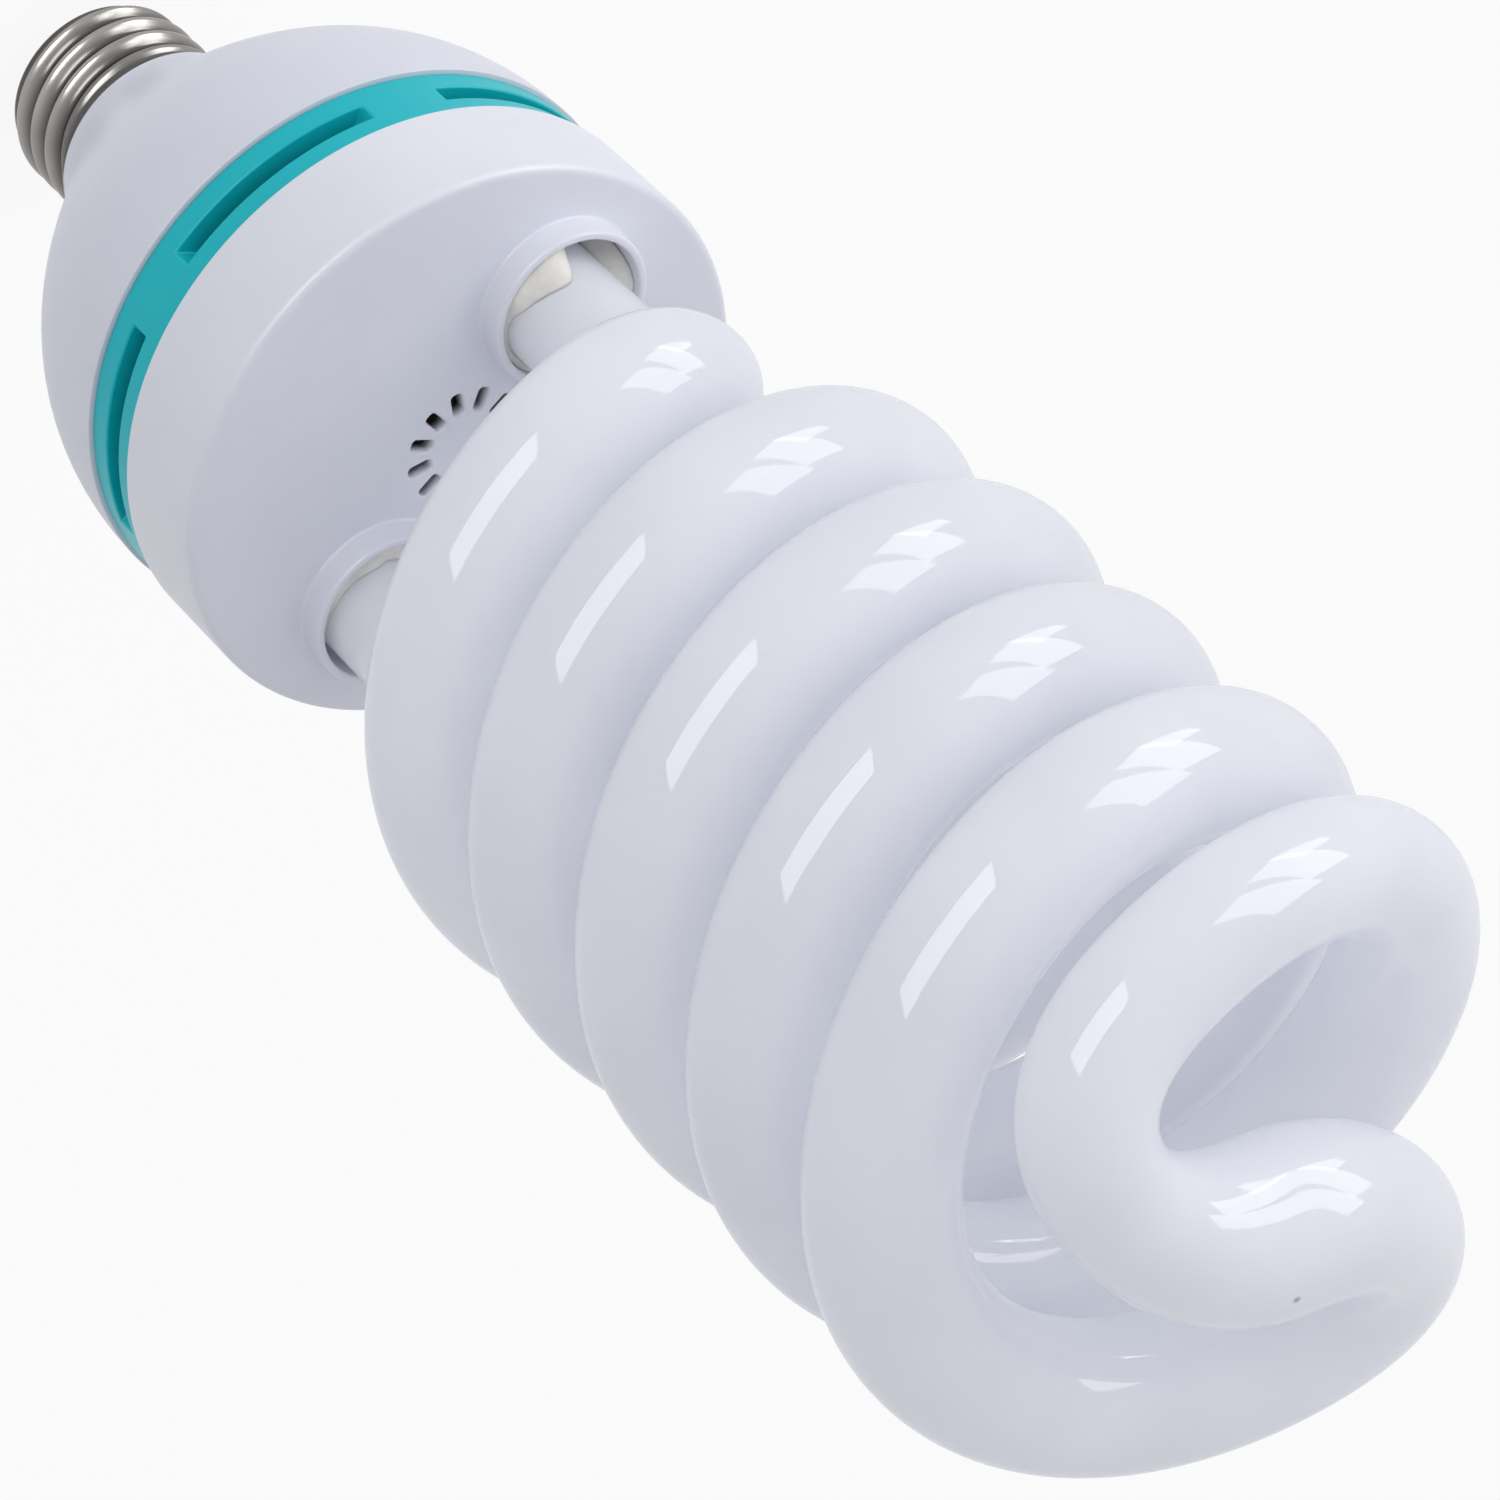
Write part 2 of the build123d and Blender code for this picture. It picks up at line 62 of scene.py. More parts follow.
# Places read from the frame
SHELL_LOW, SHELL_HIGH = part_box("screw_shell")
RING_LOW, RING_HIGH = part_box("vent_ring")
COVER_LOW, COVER_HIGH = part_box("upper_cover")
TUBE_LOW, TUBE_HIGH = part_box("spiral_tube")
HOUSING_LOW, HOUSING_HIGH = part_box("lower_housing")
CEMENT_LOW, CEMENT_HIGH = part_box("tube_cement_a")
# The CAD's sizes that no box gives: the glass, and how far a collar stands from the axis and over the face
TUBE_RADIUS = 0.008
COLLAR_SPREAD = 0.0217
COLLAR_HEIGHT = 0.0038
FACE_LEVEL = COVER_HIGH.z - COLLAR_HEIGHT
# The strands are a little fatter than the CAD's glass
STRAND_RADIUS = 0.0085


def length(label, default, about):
    """A settable length."""
    return FloatProperty(name=label, default=default, description=about, unit="LENGTH", precision=5)


def angle(label, degrees, about):
    """A settable angle."""
    return FloatProperty(name=label, default=radians(degrees), description=about, subtype="ANGLE")


def colour(label, default, about):
    """A settable colour, in linear light."""
    return FloatVectorProperty(
        name=label, default=default, description=about, subtype="COLOR", size=3, min=0.0, max=1.0
    )


def portion(label, default, about):
    """A settable share or strength, up to one."""
    return FloatProperty(name=label, default=default, description=about, subtype="FACTOR", min=0.0, max=1.0)


class TubeSizes(bpy.types.PropertyGroup):
    """Sizes of the glass spiral."""

    radius: length("Leg radius", 0.0075, "Radius of the glass at a leg")
    strand_radius: length("Strand radius", STRAND_RADIUS, "Radius of the glass along the spiral")
    first_limb: length("First limb", 0.0087, "Radius of the first strand at the bend")
    second_limb: length("Second limb", 0.0074, "Radius of the second strand at the bend")
    spiral_radius: length("Spiral radius", TUBE_HIGH.x - STRAND_RADIUS, "Axis to the tube's centre")
    lead: length("Lead", 0.0436, "Rise of one strand in a full turn")
    rise: length("Strand rise", 0.0337, "Height of the strand's zero angle over the face")
    start_angle: angle("Start angle", 50.0, "Where a strand joins its lead-in")
    end_angle: angle("End angle", 956.6, "Where a strand joins the bend")
    leg_rise: length("Leg rise", 0.0109, "Straight leg above the face")
    leg_pull: length("Leg pull", 0.029, "How far the lead-in keeps to the leg")
    start_pull: length("Start pull", 0.0201, "How far the lead-in keeps to the strand")
    first_pull: length("First pull", 0.0195, "How far the bend keeps to the first strand")
    second_pull: length("Second pull", 0.0226, "How far the bend keeps to the second strand")
    middle_pull: length("Middle pull", 0.0168, "How far the bend keeps to its middle")
    middle_angle: angle("Middle angle", -58.0, "Direction of the bend as it crosses the axis")
    bend_lift: length("Bend lift", 0.00932, "Height of the bend's centre over the ends of the strands")
    swell: length("Swell", 0.0026, "How much fatter than a leg the middle of the bend is")
    swell_reach: length("Swell reach", 0.027, "How far along the bend the swelling reaches")
    end_round: length("End round", 0.002, "Rounding of the leg ends")
    segments: IntProperty(name="Segments", default=48, description="Points round the glass", min=12)


class BodySizes(bpy.types.PropertyGroup):
    """Sizes of the moulded body."""

    wall: length("Wall", 0.0018, "Wall of the mouldings")
    neck_radius: length("Neck radius", 0.0143, "Narrow end of the housing")
    tongue_gap: length("Tongue gap", 0.00015, "Play between the ring and the tongues behind it")
    tongue_wall: length("Tongue wall", 0.0015, "Wall of the tongues behind the ring")
    edge: length("Edge", 0.0003, "Small rounding along moulded edges")
    ring_wall: length("Ring wall", 0.002, "Wall of the vent ring")
    slot_height: length("Slot height", 0.0027, "Height of an air slot")
    slot_arc: angle("Slot arc", 44.5, "Length of an air slot round the ring")
    slot_rim: length("Slot rim", 0.002, "Depth of the rim behind a slot")
    slot_ramp: angle("Slot ramp", 3.0, "Slope at the ends of a slot")
    joint: length("Joint", 0.00015, "Fine gap below the ring")
    slots: IntProperty(name="Slots", default=6, description="Air slots round the ring", min=1)
    face_edge: length("Face edge", 0.0026, "Rounding from the cover's wall to its face")
    face_wall: length("Face wall", 0.002, "Thickness of the cover's face")
    collar_wall: length("Collar wall", 0.0011, "Wall of a collar")
    collar_gap: length("Collar gap", 0.0016, "Room for cement round a leg")
    collar_root: length("Collar root", 0.0008, "Fillet where a collar meets the face")
    vent_length: length("Vent length", 0.0032, "Length of a centre vent")
    vent_width: length("Vent width", 0.0016, "Width of a centre vent")
    vent_circle: length("Vent circle", 0.0065, "Radius of the ring of centre vents")
    vents: IntProperty(name="Vents", default=12, description="Centre vents in the face", min=1)


class CapSizes(bpy.types.PropertyGroup):
    """Sizes of the screw cap."""

    crest_radius: length("Crest radius", 0.0132, "Outside radius of the thread")
    thread_depth: length("Thread depth", 0.0011, "Crest to root")
    pitch: length("Pitch", 0.00363, "Rise of the thread in a turn")
    skirt_height: length("Skirt height", 0.0024, "Plain band beside the housing")
    sheet: length("Sheet", 0.00035, "Thickness of the rolled sheet")
    lip_width: length("Lip width", 0.0015, "How far the lip turns in under the thread's root")


class Finishes(bpy.types.PropertyGroup):
    """Colours of the finishes."""

    glass: colour("Coated glass", (0.935, 0.942, 0.985), "Powder coat seen through the glass")
    housing: colour("Housing white", (0.715, 0.727, 0.815), "Moulded plastic of the housing")
    cover: colour("Cover white", (0.79, 0.80, 0.88), "Moulded plastic of the cover")
    teal: colour("Teal moulding", (0.004, 0.50, 0.57), "Moulded teal plastic")
    nickel: colour("Nickel", (0.36, 0.345, 0.33), "Plated sheet of the cap")
    cement: colour("Cement", (0.86, 0.84, 0.79), "Cement in the collars")


def new_object(name, data):
    """A new object in the scene."""
    made = bpy.data.objects.new(name, data)
    bpy.context.scene.collection.objects.link(made)
    return made


def piece(name, mesh, material, nodes):
    """Links a new mesh as a piece that stands for CAD nodes."""
    made = new_object(name, mesh)
    mesh.materials.append(material)
    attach(made, BODY)
    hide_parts(*nodes)
    return made


def dress(material, *nodes):
    """Gives CAD nodes that stay their finished material."""
    for node in nodes:
        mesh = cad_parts[node].data
        mesh.materials.clear()
        mesh.materials.append(material)


def mesh_from(name, build):
    """A mesh from a function that fills a bmesh."""
    grown = bmesh.new()
    build(grown)
    bmesh.ops.recalc_face_normals(grown, faces=grown.faces)
    mesh = bpy.data.meshes.new(name)
    grown.to_mesh(mesh)
    grown.free()
    return mesh


def loop(grown, points):
    """Adds a ring of points."""
    return [grown.verts.new(point) for point in points]


def bridge(grown, first, second):
    """Joins two rings of equal count with four-sided smooth faces."""
    for index, start in enumerate(first):
        after = (index + 1) % len(first)
        face = grown.faces.new((start, first[after], second[after], second[index]))
        face.smooth = True


def circle(radius, level, count, centre=(0.0, 0.0)):
    """Points of a level circle."""
    turns = [tau * index / count for index in range(count)]
    return [(centre[0] + radius * cos(turn), centre[1] + radius * sin(turn), level) for turn in turns]


def rounded(corners, radii, steps):
    """An open outline of (radius, level) corners, each inner one rounded over at most half of its edges."""
    most = 0.49
    points = [Vector(corners[0])]
    for before, corner, after, size in zip(corners, corners[1:], corners[2:], radii):
        here = Vector(corner)
        back = Vector(before) - here
        ahead = Vector(after) - here
        reach = min(size, back.length * most, ahead.length * most)
        start = here + back.normalized() * reach
        end = here + ahead.normalized() * reach
        for index in range(steps + 1):
            share = index / steps
            points.append(start.lerp(here, share).lerp(here.lerp(end, share), share))
    points.append(Vector(corners[-1]))
    return points


def bezier(a, b, c, d, share):
    """A point on a cubic curve."""
    left = a.lerp(b, share).lerp(b.lerp(c, share), share)
    right = b.lerp(c, share).lerp(c.lerp(d, share), share)
    return left.lerp(right, share)


def turn_profile(grown, profile, count):
    """Turns a closed outline of (radius, level) points about the axis."""
    rings = [loop(grown, circle(point.x, point.y, count)) for point in profile]
    for first, second in zip(rings, rings[1:] + rings[:1]):
        bridge(grown, first, second)


# Materials


# A tiny dark speck in the coat, near the top of the bend: its place, its dark core, its edge and its tone
SPECK = Vector((0.00283, -0.00311, 0.26481))
SPECK_CORE, SPECK_EDGE, SPECK_TONE = 0.0002, 0.0006, 0.5
# Share of the light that the powder coat lets through
THROUGH = 0.40
# Painted shade on the cap: tones of its grooves and of its skirt beside the housing, beside its crests
GROOVE_PAINTED_SHADE, SKIRT_PAINTED_SHADE = 0.25, 0.3


def new_material(name):
    """A material with its node tree and its shader."""
    material = bpy.data.materials.new(name)
    material.use_nodes = True
    return material, material.node_tree, material.node_tree.nodes["Principled BSDF"]


def add_node(tree, kind, **settings):
    """Adds a node, with its inputs set by name where they exist and its options otherwise."""
    node = tree.nodes.new(kind)
    for key, value in settings.items():
        label = key.replace("_", " ").title() if key.islower() else key
        if label in node.inputs:
            node.inputs[label].default_value = value
        else:
            setattr(node, key, value)
    return node


def wire(source, target):
    """Links two sockets of a node tree."""
    source.id_data.links.new(source, target)


def set_inputs(node, levels):
    """Sets a node's inputs by name."""
    for label, level in levels.items():
        node.inputs[label].default_value = level


def place(tree):
    """The object's own coordinates."""
    node = tree.nodes.get("Place") or add_node(tree, "ShaderNodeTexCoord", name="Place")
    return node.outputs["Object"]


def spots(tree, scale, detail=2.0, roughness=0.5, where=None):
    """Noise over the object's own coordinates, or over others made from them."""
    cloud = add_node(tree, "ShaderNodeTexNoise", scale=scale, detail=detail, roughness=roughness)
    wire(place(tree) if where is None else where, cloud.inputs["Vector"])
    return cloud.outputs["Fac"]


def shade(base, factor):
    """A colour made lighter or darker."""
    return tuple(min(1.0, channel * factor) for channel in base)


def ramp(value, base, dark, light, low=0.3, high=0.7):
    """A colour that goes from a darker to a lighter tone over a range of a value."""
    node = add_node(value.id_data, "ShaderNodeValToRGB")
    for element, position, factor in zip(node.color_ramp.elements, (low, high), (dark, light)):
        element.position = position
        element.color = (*shade(base, factor), 1.0)
    wire(value, node.inputs["Fac"])
    return node.outputs["Color"]


def between(value, start, end, low, high):
    """A value over a range, mapped to another range and kept within it."""
    node = add_node(value.id_data, "ShaderNodeMapRange")
    set_inputs(node, {"From Min": start, "From Max": end, "To Min": low, "To Max": high})
    wire(value, node.inputs["Value"])
    return node.outputs["Result"]


def span(value, low, high):
    """A value from nought to one, mapped to a range."""
    return between(value, 0.0, 1.0, low, high)


def scaled(tone, factor):
    """A colour made lighter or darker by a value."""
    node = add_node(tone.id_data, "ShaderNodeVectorMath", operation="SCALE")
    wire(tone, node.inputs[0])
    wire(factor, node.inputs["Scale"])
    return node.outputs["Vector"]


def relief(shader, height, distance, strength):
    """Bump from a height value."""
    node = add_node(height.id_data, "ShaderNodeBump", strength=strength, distance=distance)
    wire(height, node.inputs["Height"])
    wire(node.outputs["Normal"], shader.inputs["Normal"])


def paint(shader, tone, roughness):
    """Links a colour and a roughness to the shader."""
    wire(tone, shader.inputs["Base Color"])
    wire(roughness, shader.inputs["Roughness"])


def blend(tree, share, first, second):
    """Shows a mix of two shaders. Returns the input for the second one's share."""
    mix = add_node(tree, "ShaderNodeMixShader")
    mix.inputs["Fac"].default_value = share
    wire(first, mix.inputs[1])
    wire(second, mix.inputs[2])
    wire(mix.outputs["Shader"], tree.nodes["Material Output"].inputs["Surface"])
    return mix.inputs["Fac"]


def coated_glass(base):
    """White powder behind clear glass: a glossy skin over a faintly clouded coat that lets light through."""
    material, tree, shader = new_material("coated_glass")
    cloud = spots(tree, scale=60.0, detail=1.0)
    wave = spots(tree, scale=90.0, detail=0.0)
    clean = ramp(cloud, base, dark=0.975, light=1.02)
    away = add_node(tree, "ShaderNodeVectorMath", operation="DISTANCE")
    away.inputs[1].default_value = SPECK
    wire(place(tree), away.inputs[0])
    spot = between(away.outputs["Value"], SPECK_CORE, SPECK_EDGE, SPECK_TONE, 1.0)
    tone = scaled(clean, spot)
    paint(shader, tone, span(wave, low=0.18, high=0.28))
    relief(shader, wave, distance=0.00004, strength=0.25)
    shader.inputs["Specular IOR Level"].default_value = 0.0
    set_inputs(shader, {"Coat Weight": 1.0, "Coat Roughness": 0.008, "Coat IOR": 1.5})
    through = add_node(tree, "ShaderNodeBsdfTranslucent")
    wire(tone, through.inputs["Color"])
    blend(tree, THROUGH, shader.outputs["BSDF"], through.outputs["BSDF"])
    return material


def moulded(name, base, roughness, grain, gloss=0.5):
    """Moulded plastic with a fine spark-eroded grain."""
    uneven = 0.05
    material, tree, shader = new_material(name)
    tone = ramp(spots(tree, scale=45.0, detail=3.0), base, dark=0.97, light=1.02)
    paint(shader, tone, span(spots(tree, scale=300.0), roughness - uneven, roughness + uneven))
    relief(shader, spots(tree, scale=2600.0, detail=1.0), distance=grain, strength=0.35)
    set_inputs(shader, {"IOR": 1.48, "Specular IOR Level": gloss})
    return material


def plated(name, base, low, high, stretch=14.0):
    """Plated or drawn metal, streaked round the axis."""
    material, tree, shader = new_material(name)
    squeeze = add_node(tree, "ShaderNodeMapping", scale=(1.0, 1.0, stretch))
    wire(place(tree), squeeze.inputs["Vector"])
    streaks = spots(tree, scale=180.0, detail=4.0, where=squeeze.outputs["Vector"])
    tone = ramp(spots(tree, scale=130.0, detail=3.0), base, dark=0.86, light=1.05, low=0.35)
    paint(shader, tone, span(streaks, low, high))
    relief(shader, streaks, distance=0.00003, strength=0.3)
    shader.inputs["Metallic"].default_value = 1.0
    return material


def rolled_nickel(base, root, crest, web):
    """Plated rolled sheet, bright on the crests, with painted shade in the grooves and on the skirt beside
    the housing.
    """
    skirt_low, skirt_high = web - 0.0002, web + 0.0003
    material = plated("rolled_nickel", base, low=0.14, high=0.34)
    tree = material.node_tree
    coat = tree.nodes["Principled BSDF"].inputs["Base Color"]
    across = add_node(tree, "ShaderNodeVectorMath", operation="MULTIPLY")
    across.inputs[1].default_value = (1.0, 1.0, 0.0)
    reach = add_node(tree, "ShaderNodeVectorMath", operation="LENGTH")
    height = add_node(tree, "ShaderNodeSeparateXYZ")
    wire(place(tree), across.inputs[0])
    wire(place(tree), height.inputs[0])
    wire(across.outputs["Vector"], reach.inputs[0])
    # Painted shade: the colour darkens from the crests down to the thread's roots
    groove_shade = between(reach.outputs["Value"], root, crest, GROOVE_PAINTED_SHADE, 1.0)
    # Painted shade: the colour darkens on the skirt, beside the housing
    skirt_shade = between(height.outputs["Z"], skirt_low, skirt_high, 1.0, SKIRT_PAINTED_SHADE)
    tone = scaled(scaled(coat.links[0].from_socket, groove_shade), skirt_shade)
    wire(tone, coat)
    return material


def crumbled(name, base):
    """Dry cement with pores and tide marks."""
    material, tree, shader = new_material(name)
    pores = spots(tree, scale=900.0, detail=4.0, roughness=0.6)
    stain = ramp(spots(tree, scale=260.0, detail=3.0), base, dark=0.86, light=1.06, high=0.75)
    paint(shader, stain, span(pores, low=0.75, high=0.95))
    relief(shader, pores, distance=0.0002, strength=0.7)
    return material


def wound(name, base):
    """Enamelled wire laid in close turns, with painted shade between the turns."""
    material, tree, shader = new_material(name)
    turns = add_node(tree, "ShaderNodeTexWave", scale=420.0, distortion=1.5, bands_direction="Z")
    wire(place(tree), turns.inputs["Vector"])
    # Painted shade: the wave's dark bands darken the colour between the turns
    tone = ramp(turns.outputs["Fac"], base, dark=0.6, light=1.15, low=0.2, high=0.9)
    paint(shader, tone, span(spots(tree, scale=300.0), low=0.25, high=0.4))
    relief(shader, turns.outputs["Fac"], distance=0.0002, strength=0.8)
    shader.inputs["Metallic"].default_value = 0.6
    return material


def plain_part(name, base, roughness):
    """A small component's coat, slightly uneven."""
    uneven = 0.08
    material, tree, shader = new_material(name)
    tone = ramp(spots(tree, scale=320.0, detail=3.0), base, dark=0.85, light=1.1)
    paint(shader, tone, span(spots(tree, scale=700.0), roughness - uneven, roughness + uneven))
    relief(shader, spots(tree, scale=1500.0), distance=0.00005, strength=0.3)
    return material


# Pieces


# Where hot bending left the strands off the true spiral: angle and reach in degrees, then outward and upward
FIRST_STRAND_DRIFT = ((340.0, 70.0, -0.0012, 0.0), (620.0, 150.0, 0.0, 0.0022))
SECOND_STRAND_DRIFT = (
    (150.0, 90.0, -0.0030, 0.0),
    (430.0, 110.0, 0.0, 0.0022),
    (520.0, 70.0, -0.0013, 0.0),
    (886.0, 70.0, 0.0015, 0.0),
)
# How far the legs stand off the middle of their collars
LEG_LEAN = Vector((0.0010, -0.0004, 0.0))
# How far before the bend a strand takes its limb's radius: the start and the length of the change, in leads
LIMB_START, LIMB_CHANGE = 3.12, 1.2


def strand_point(sizes, turned, drift=()):
    """Centre of the tube on the spiral at an angle since the strand's collar."""
    radius = sizes.spiral_radius
    level = FACE_LEVEL + sizes.rise + sizes.lead * turned / tau
    for middle, reach, outward, upward in drift:
        share = min(1.0, abs(turned - radians(middle)) / radians(reach))
        strength = cos(share * pi / 2) ** 2
        radius += outward * strength
        level += upward * strength
    return Vector((radius * cos(pi + turned), radius * sin(pi + turned), level))


def strand_way(sizes, turned):
    """Direction along the spiral for one unit of travel round the axis."""
    return Vector((-sin(pi + turned), cos(pi + turned), sizes.lead / (tau * sizes.spiral_radius)))


def strand_route(sizes, drift, lean, pull):
    """Half of the tube's centre line: leg, lead-in, spiral and half of the bend."""
    leg_steps, curve_steps, turn_step = 10, 32, radians(3.0)
    foot = Vector((-COLLAR_SPREAD, 0.0, TUBE_LOW.z)) + lean
    knee = Vector((-COLLAR_SPREAD, 0.0, FACE_LEVEL + sizes.leg_rise)) + lean
    start = strand_point(sizes, sizes.start_angle)
    end = strand_point(sizes, sizes.end_angle)
    top = Vector((0.0, 0.0, end.z + sizes.bend_lift))
    middle = Vector((cos(sizes.middle_angle), sin(sizes.middle_angle), 0.0))
    leg_hold = knee + Vector((0.0, 0.0, sizes.leg_pull))
    start_hold = start - strand_way(sizes, sizes.start_angle).normalized() * sizes.start_pull
    end_hold = end + strand_way(sizes, sizes.end_angle) * pull
    top_hold = top - middle * sizes.middle_pull
    turn_steps = round((sizes.end_angle - sizes.start_angle) / turn_step)
    turn = (sizes.end_angle - sizes.start_angle) / turn_steps
    route = [foot.lerp(knee, index / leg_steps) for index in range(leg_steps)]
    route += [bezier(knee, leg_hold, start_hold, start, index / curve_steps) for index in range(curve_steps)]
    route += [strand_point(sizes, sizes.start_angle + turn * index, drift) for index in range(turn_steps)]
    route += [bezier(end, end_hold, top_hold, top, index / curve_steps) for index in range(curve_steps)]
    return route + [top]


def ease(share):
    """A smooth step from nought to one."""
    share = max(0.0, min(1.0, share))
    return share * share * (3.0 - 2.0 * share)


def strand_thickness(sizes, route, limb):
    """Radius of the glass along a strand: a leg's, the spiral's, the limb's and last the swollen bend's."""
    left = [0.0]
    for first, second in zip(reversed(route), reversed(route[:-1])):
        left.append(left[-1] + (second - first).length)
    radii = []
    for point, travel in zip(route, reversed(left)):
        full = ease((point.z - FACE_LEVEL - sizes.leg_rise) / sizes.rise)
        radius = sizes.radius + (sizes.strand_radius - sizes.radius) * full
        late = ease((LIMB_START - travel / sizes.lead) / LIMB_CHANGE)
        radius += (limb - radius) * late
        fat = ease(1.0 - travel / sizes.swell_reach)
        radii.append(radius + (sizes.radius + sizes.swell - radius) * fat)
    return radii


def tube_route(sizes):
    """Centre line and radii of the whole tube: up the first strand and down the second, half a turn round."""
    first = strand_route(sizes, FIRST_STRAND_DRIFT, LEG_LEAN, sizes.first_pull)
    second = strand_route(sizes, SECOND_STRAND_DRIFT, -LEG_LEAN, sizes.second_pull)
    route = first + [Vector((-point.x, -point.y, point.z)) for point in reversed(second[:-1])]
    radii = strand_thickness(sizes, first, sizes.first_limb)
    radii += strand_thickness(sizes, second, sizes.second_limb)[-2::-1]
    return route, radii


def sweep_tube(grown, route, radii, end_round, segments):
    """A round tube along a route, with rounded closed ends in the place of its first and last points."""
    end_steps, end_points = 4, 2
    turns = [tau * index / segments for index in range(segments)]
    steps = zip([route[0]] + route[:-1], route[1:] + [route[-1]])
    ways = [(after - before).normalized() for before, after in steps]
    side = ways[0].orthogonal().normalized()
    rings = []
    for point, way in zip(route, ways):
        side = (side - way * side.dot(way)).normalized()
        across = way.cross(side)
        rings.append((point, way, [side * cos(turn) + across * sin(turn) for turn in turns]))
    swings = [pi / 2 * index / end_steps for index in range(end_steps)]
    profile = [(end_round * (1.0 - sin(swing)), end_round * (1.0 - cos(swing))) for swing in swings]
    profile = [(radii[0] - less, depth) for less, depth in profile]
    body = slice(end_points, -end_points)
    point, way, spokes = rings[0]
    outlines = [[point + way * depth + spoke * size for spoke in spokes] for size, depth in profile]
    for (point, _, spokes), radius in zip(rings[body], radii[body]):
        outlines.append([point + spoke * radius for spoke in spokes])
    point, way, spokes = rings[-1]
    for size, depth in reversed(profile):
        outlines.append([point - way * depth + spoke * size for spoke in spokes])
    loops = [loop(grown, outline) for outline in outlines]
    for first, second in zip(loops, loops[1:]):
        bridge(grown, first, second)
    grown.faces.new(loops[0])
    grown.faces.new(reversed(loops[-1]))


class BULB_OT_spiral_tube(bpy.types.Operator):
    """Sweep the coated glass tube through its legs, both strands and the bend"""

    bl_idname = "bulb.spiral_tube"
    bl_label = "Spiral tube"

    def execute(self, context):
        sizes = context.scene.bulb_tube
        route, radii = tube_route(sizes)
        ends, around = sizes.end_round, sizes.segments
        mesh = mesh_from("glass_spiral", lambda grown: sweep_tube(grown, route, radii, ends, around))
        glass = coated_glass(context.scene.bulb_finishes.glass)
        piece("glass_spiral", mesh, glass, ["spiral_tube"])
        return {"FINISHED"}


def bell_outline(low, high, sizes, inset):
    """The housing's bell from its narrow end up to the upright rim, or its inner side at an inset."""
    steps = 28
    start_out, start_up, shoulder_up = 0.25, 0.30, 0.50
    spread = HOUSING_HIGH.x - sizes.neck_radius
    bowl = RING_LOW.z - SHELL_HIGH.z
    start = Vector((
        sizes.neck_radius + start_out * spread - inset,
        SHELL_HIGH.z + start_up * bowl + start_out * inset,
    ))
    shoulder = Vector((HOUSING_HIGH.x - inset, SHELL_HIGH.z + shoulder_up * bowl))
    return [bezier(Vector(low), start, shoulder, Vector(high), index / steps) for index in range(steps + 1)]


def tongue_walls(sizes):
    """Outer and inner radius of the tongues that stand behind the ring."""
    outside = RING_HIGH.x - sizes.ring_wall - sizes.tongue_gap
    return outside, outside - sizes.tongue_wall


class BULB_OT_lower_housing(bpy.types.Operator):
    """Turn the white housing from the cap up to the vent ring"""

    bl_idname = "bulb.lower_housing"
    bl_label = "Lower housing"

    def execute(self, context):
        sizes = context.scene.bulb_body
        cap = context.scene.bulb_cap
        segments, corner_steps = 192, 3
        spigot, skirt_room, bowl_drop, ledge_drop, ledge_width = 0.0116, 0.0005, 0.0064, 0.0016, 0.0018
        rim = HOUSING_HIGH.x
        edge = sizes.edge
        spigot_bore = spigot - sizes.wall
        tongue_radius, tongue_bore = tongue_walls(sizes)
        ledge_bore = tongue_bore - ledge_width
        ledge_top = RING_LOW.z - ledge_drop
        ledge_low = ledge_top - sizes.wall
        skirt_level = SHELL_HIGH.z - cap.skirt_height + cap.sheet
        skirt_bore = SHELL_HIGH.x - skirt_room
        outer = bell_outline((sizes.neck_radius, SHELL_HIGH.z + edge), (rim, RING_LOW.z - edge), sizes, 0.0)
        inner_low = (spigot_bore, SHELL_HIGH.z + sizes.wall)
        inner_high = (rim - sizes.wall, RING_LOW.z - bowl_drop)
        inner = bell_outline(inner_low, inner_high, sizes, sizes.wall)
        top = rounded(
            [
                outer[-1], (rim, RING_LOW.z),
                (tongue_radius, RING_LOW.z), (tongue_radius, HOUSING_HIGH.z),
                (tongue_bore, HOUSING_HIGH.z), (tongue_bore, ledge_top),
                (ledge_bore, ledge_top), (ledge_bore, ledge_low), inner[-1],
            ],
            [edge] * 7,
            corner_steps,
        )
        neck = rounded(
            [
                inner[0], (spigot_bore, HOUSING_LOW.z),
                (spigot, HOUSING_LOW.z), (spigot, skirt_level),
                (skirt_bore, skirt_level), (skirt_bore, SHELL_HIGH.z),
                (sizes.neck_radius, SHELL_HIGH.z), outer[0],
            ],
            [edge] * 6,
            corner_steps,
        )
        profile = outer + top[1:-1] + list(reversed(inner)) + neck[1:-1]
        mesh = mesh_from("housing_bowl", lambda grown: turn_profile(grown, profile, segments))
        white = moulded("housing_white", context.scene.bulb_finishes.housing, roughness=0.42, grain=0.00002)
        piece("housing_bowl", mesh, white, ["lower_housing"])
        return {"FINISHED"}


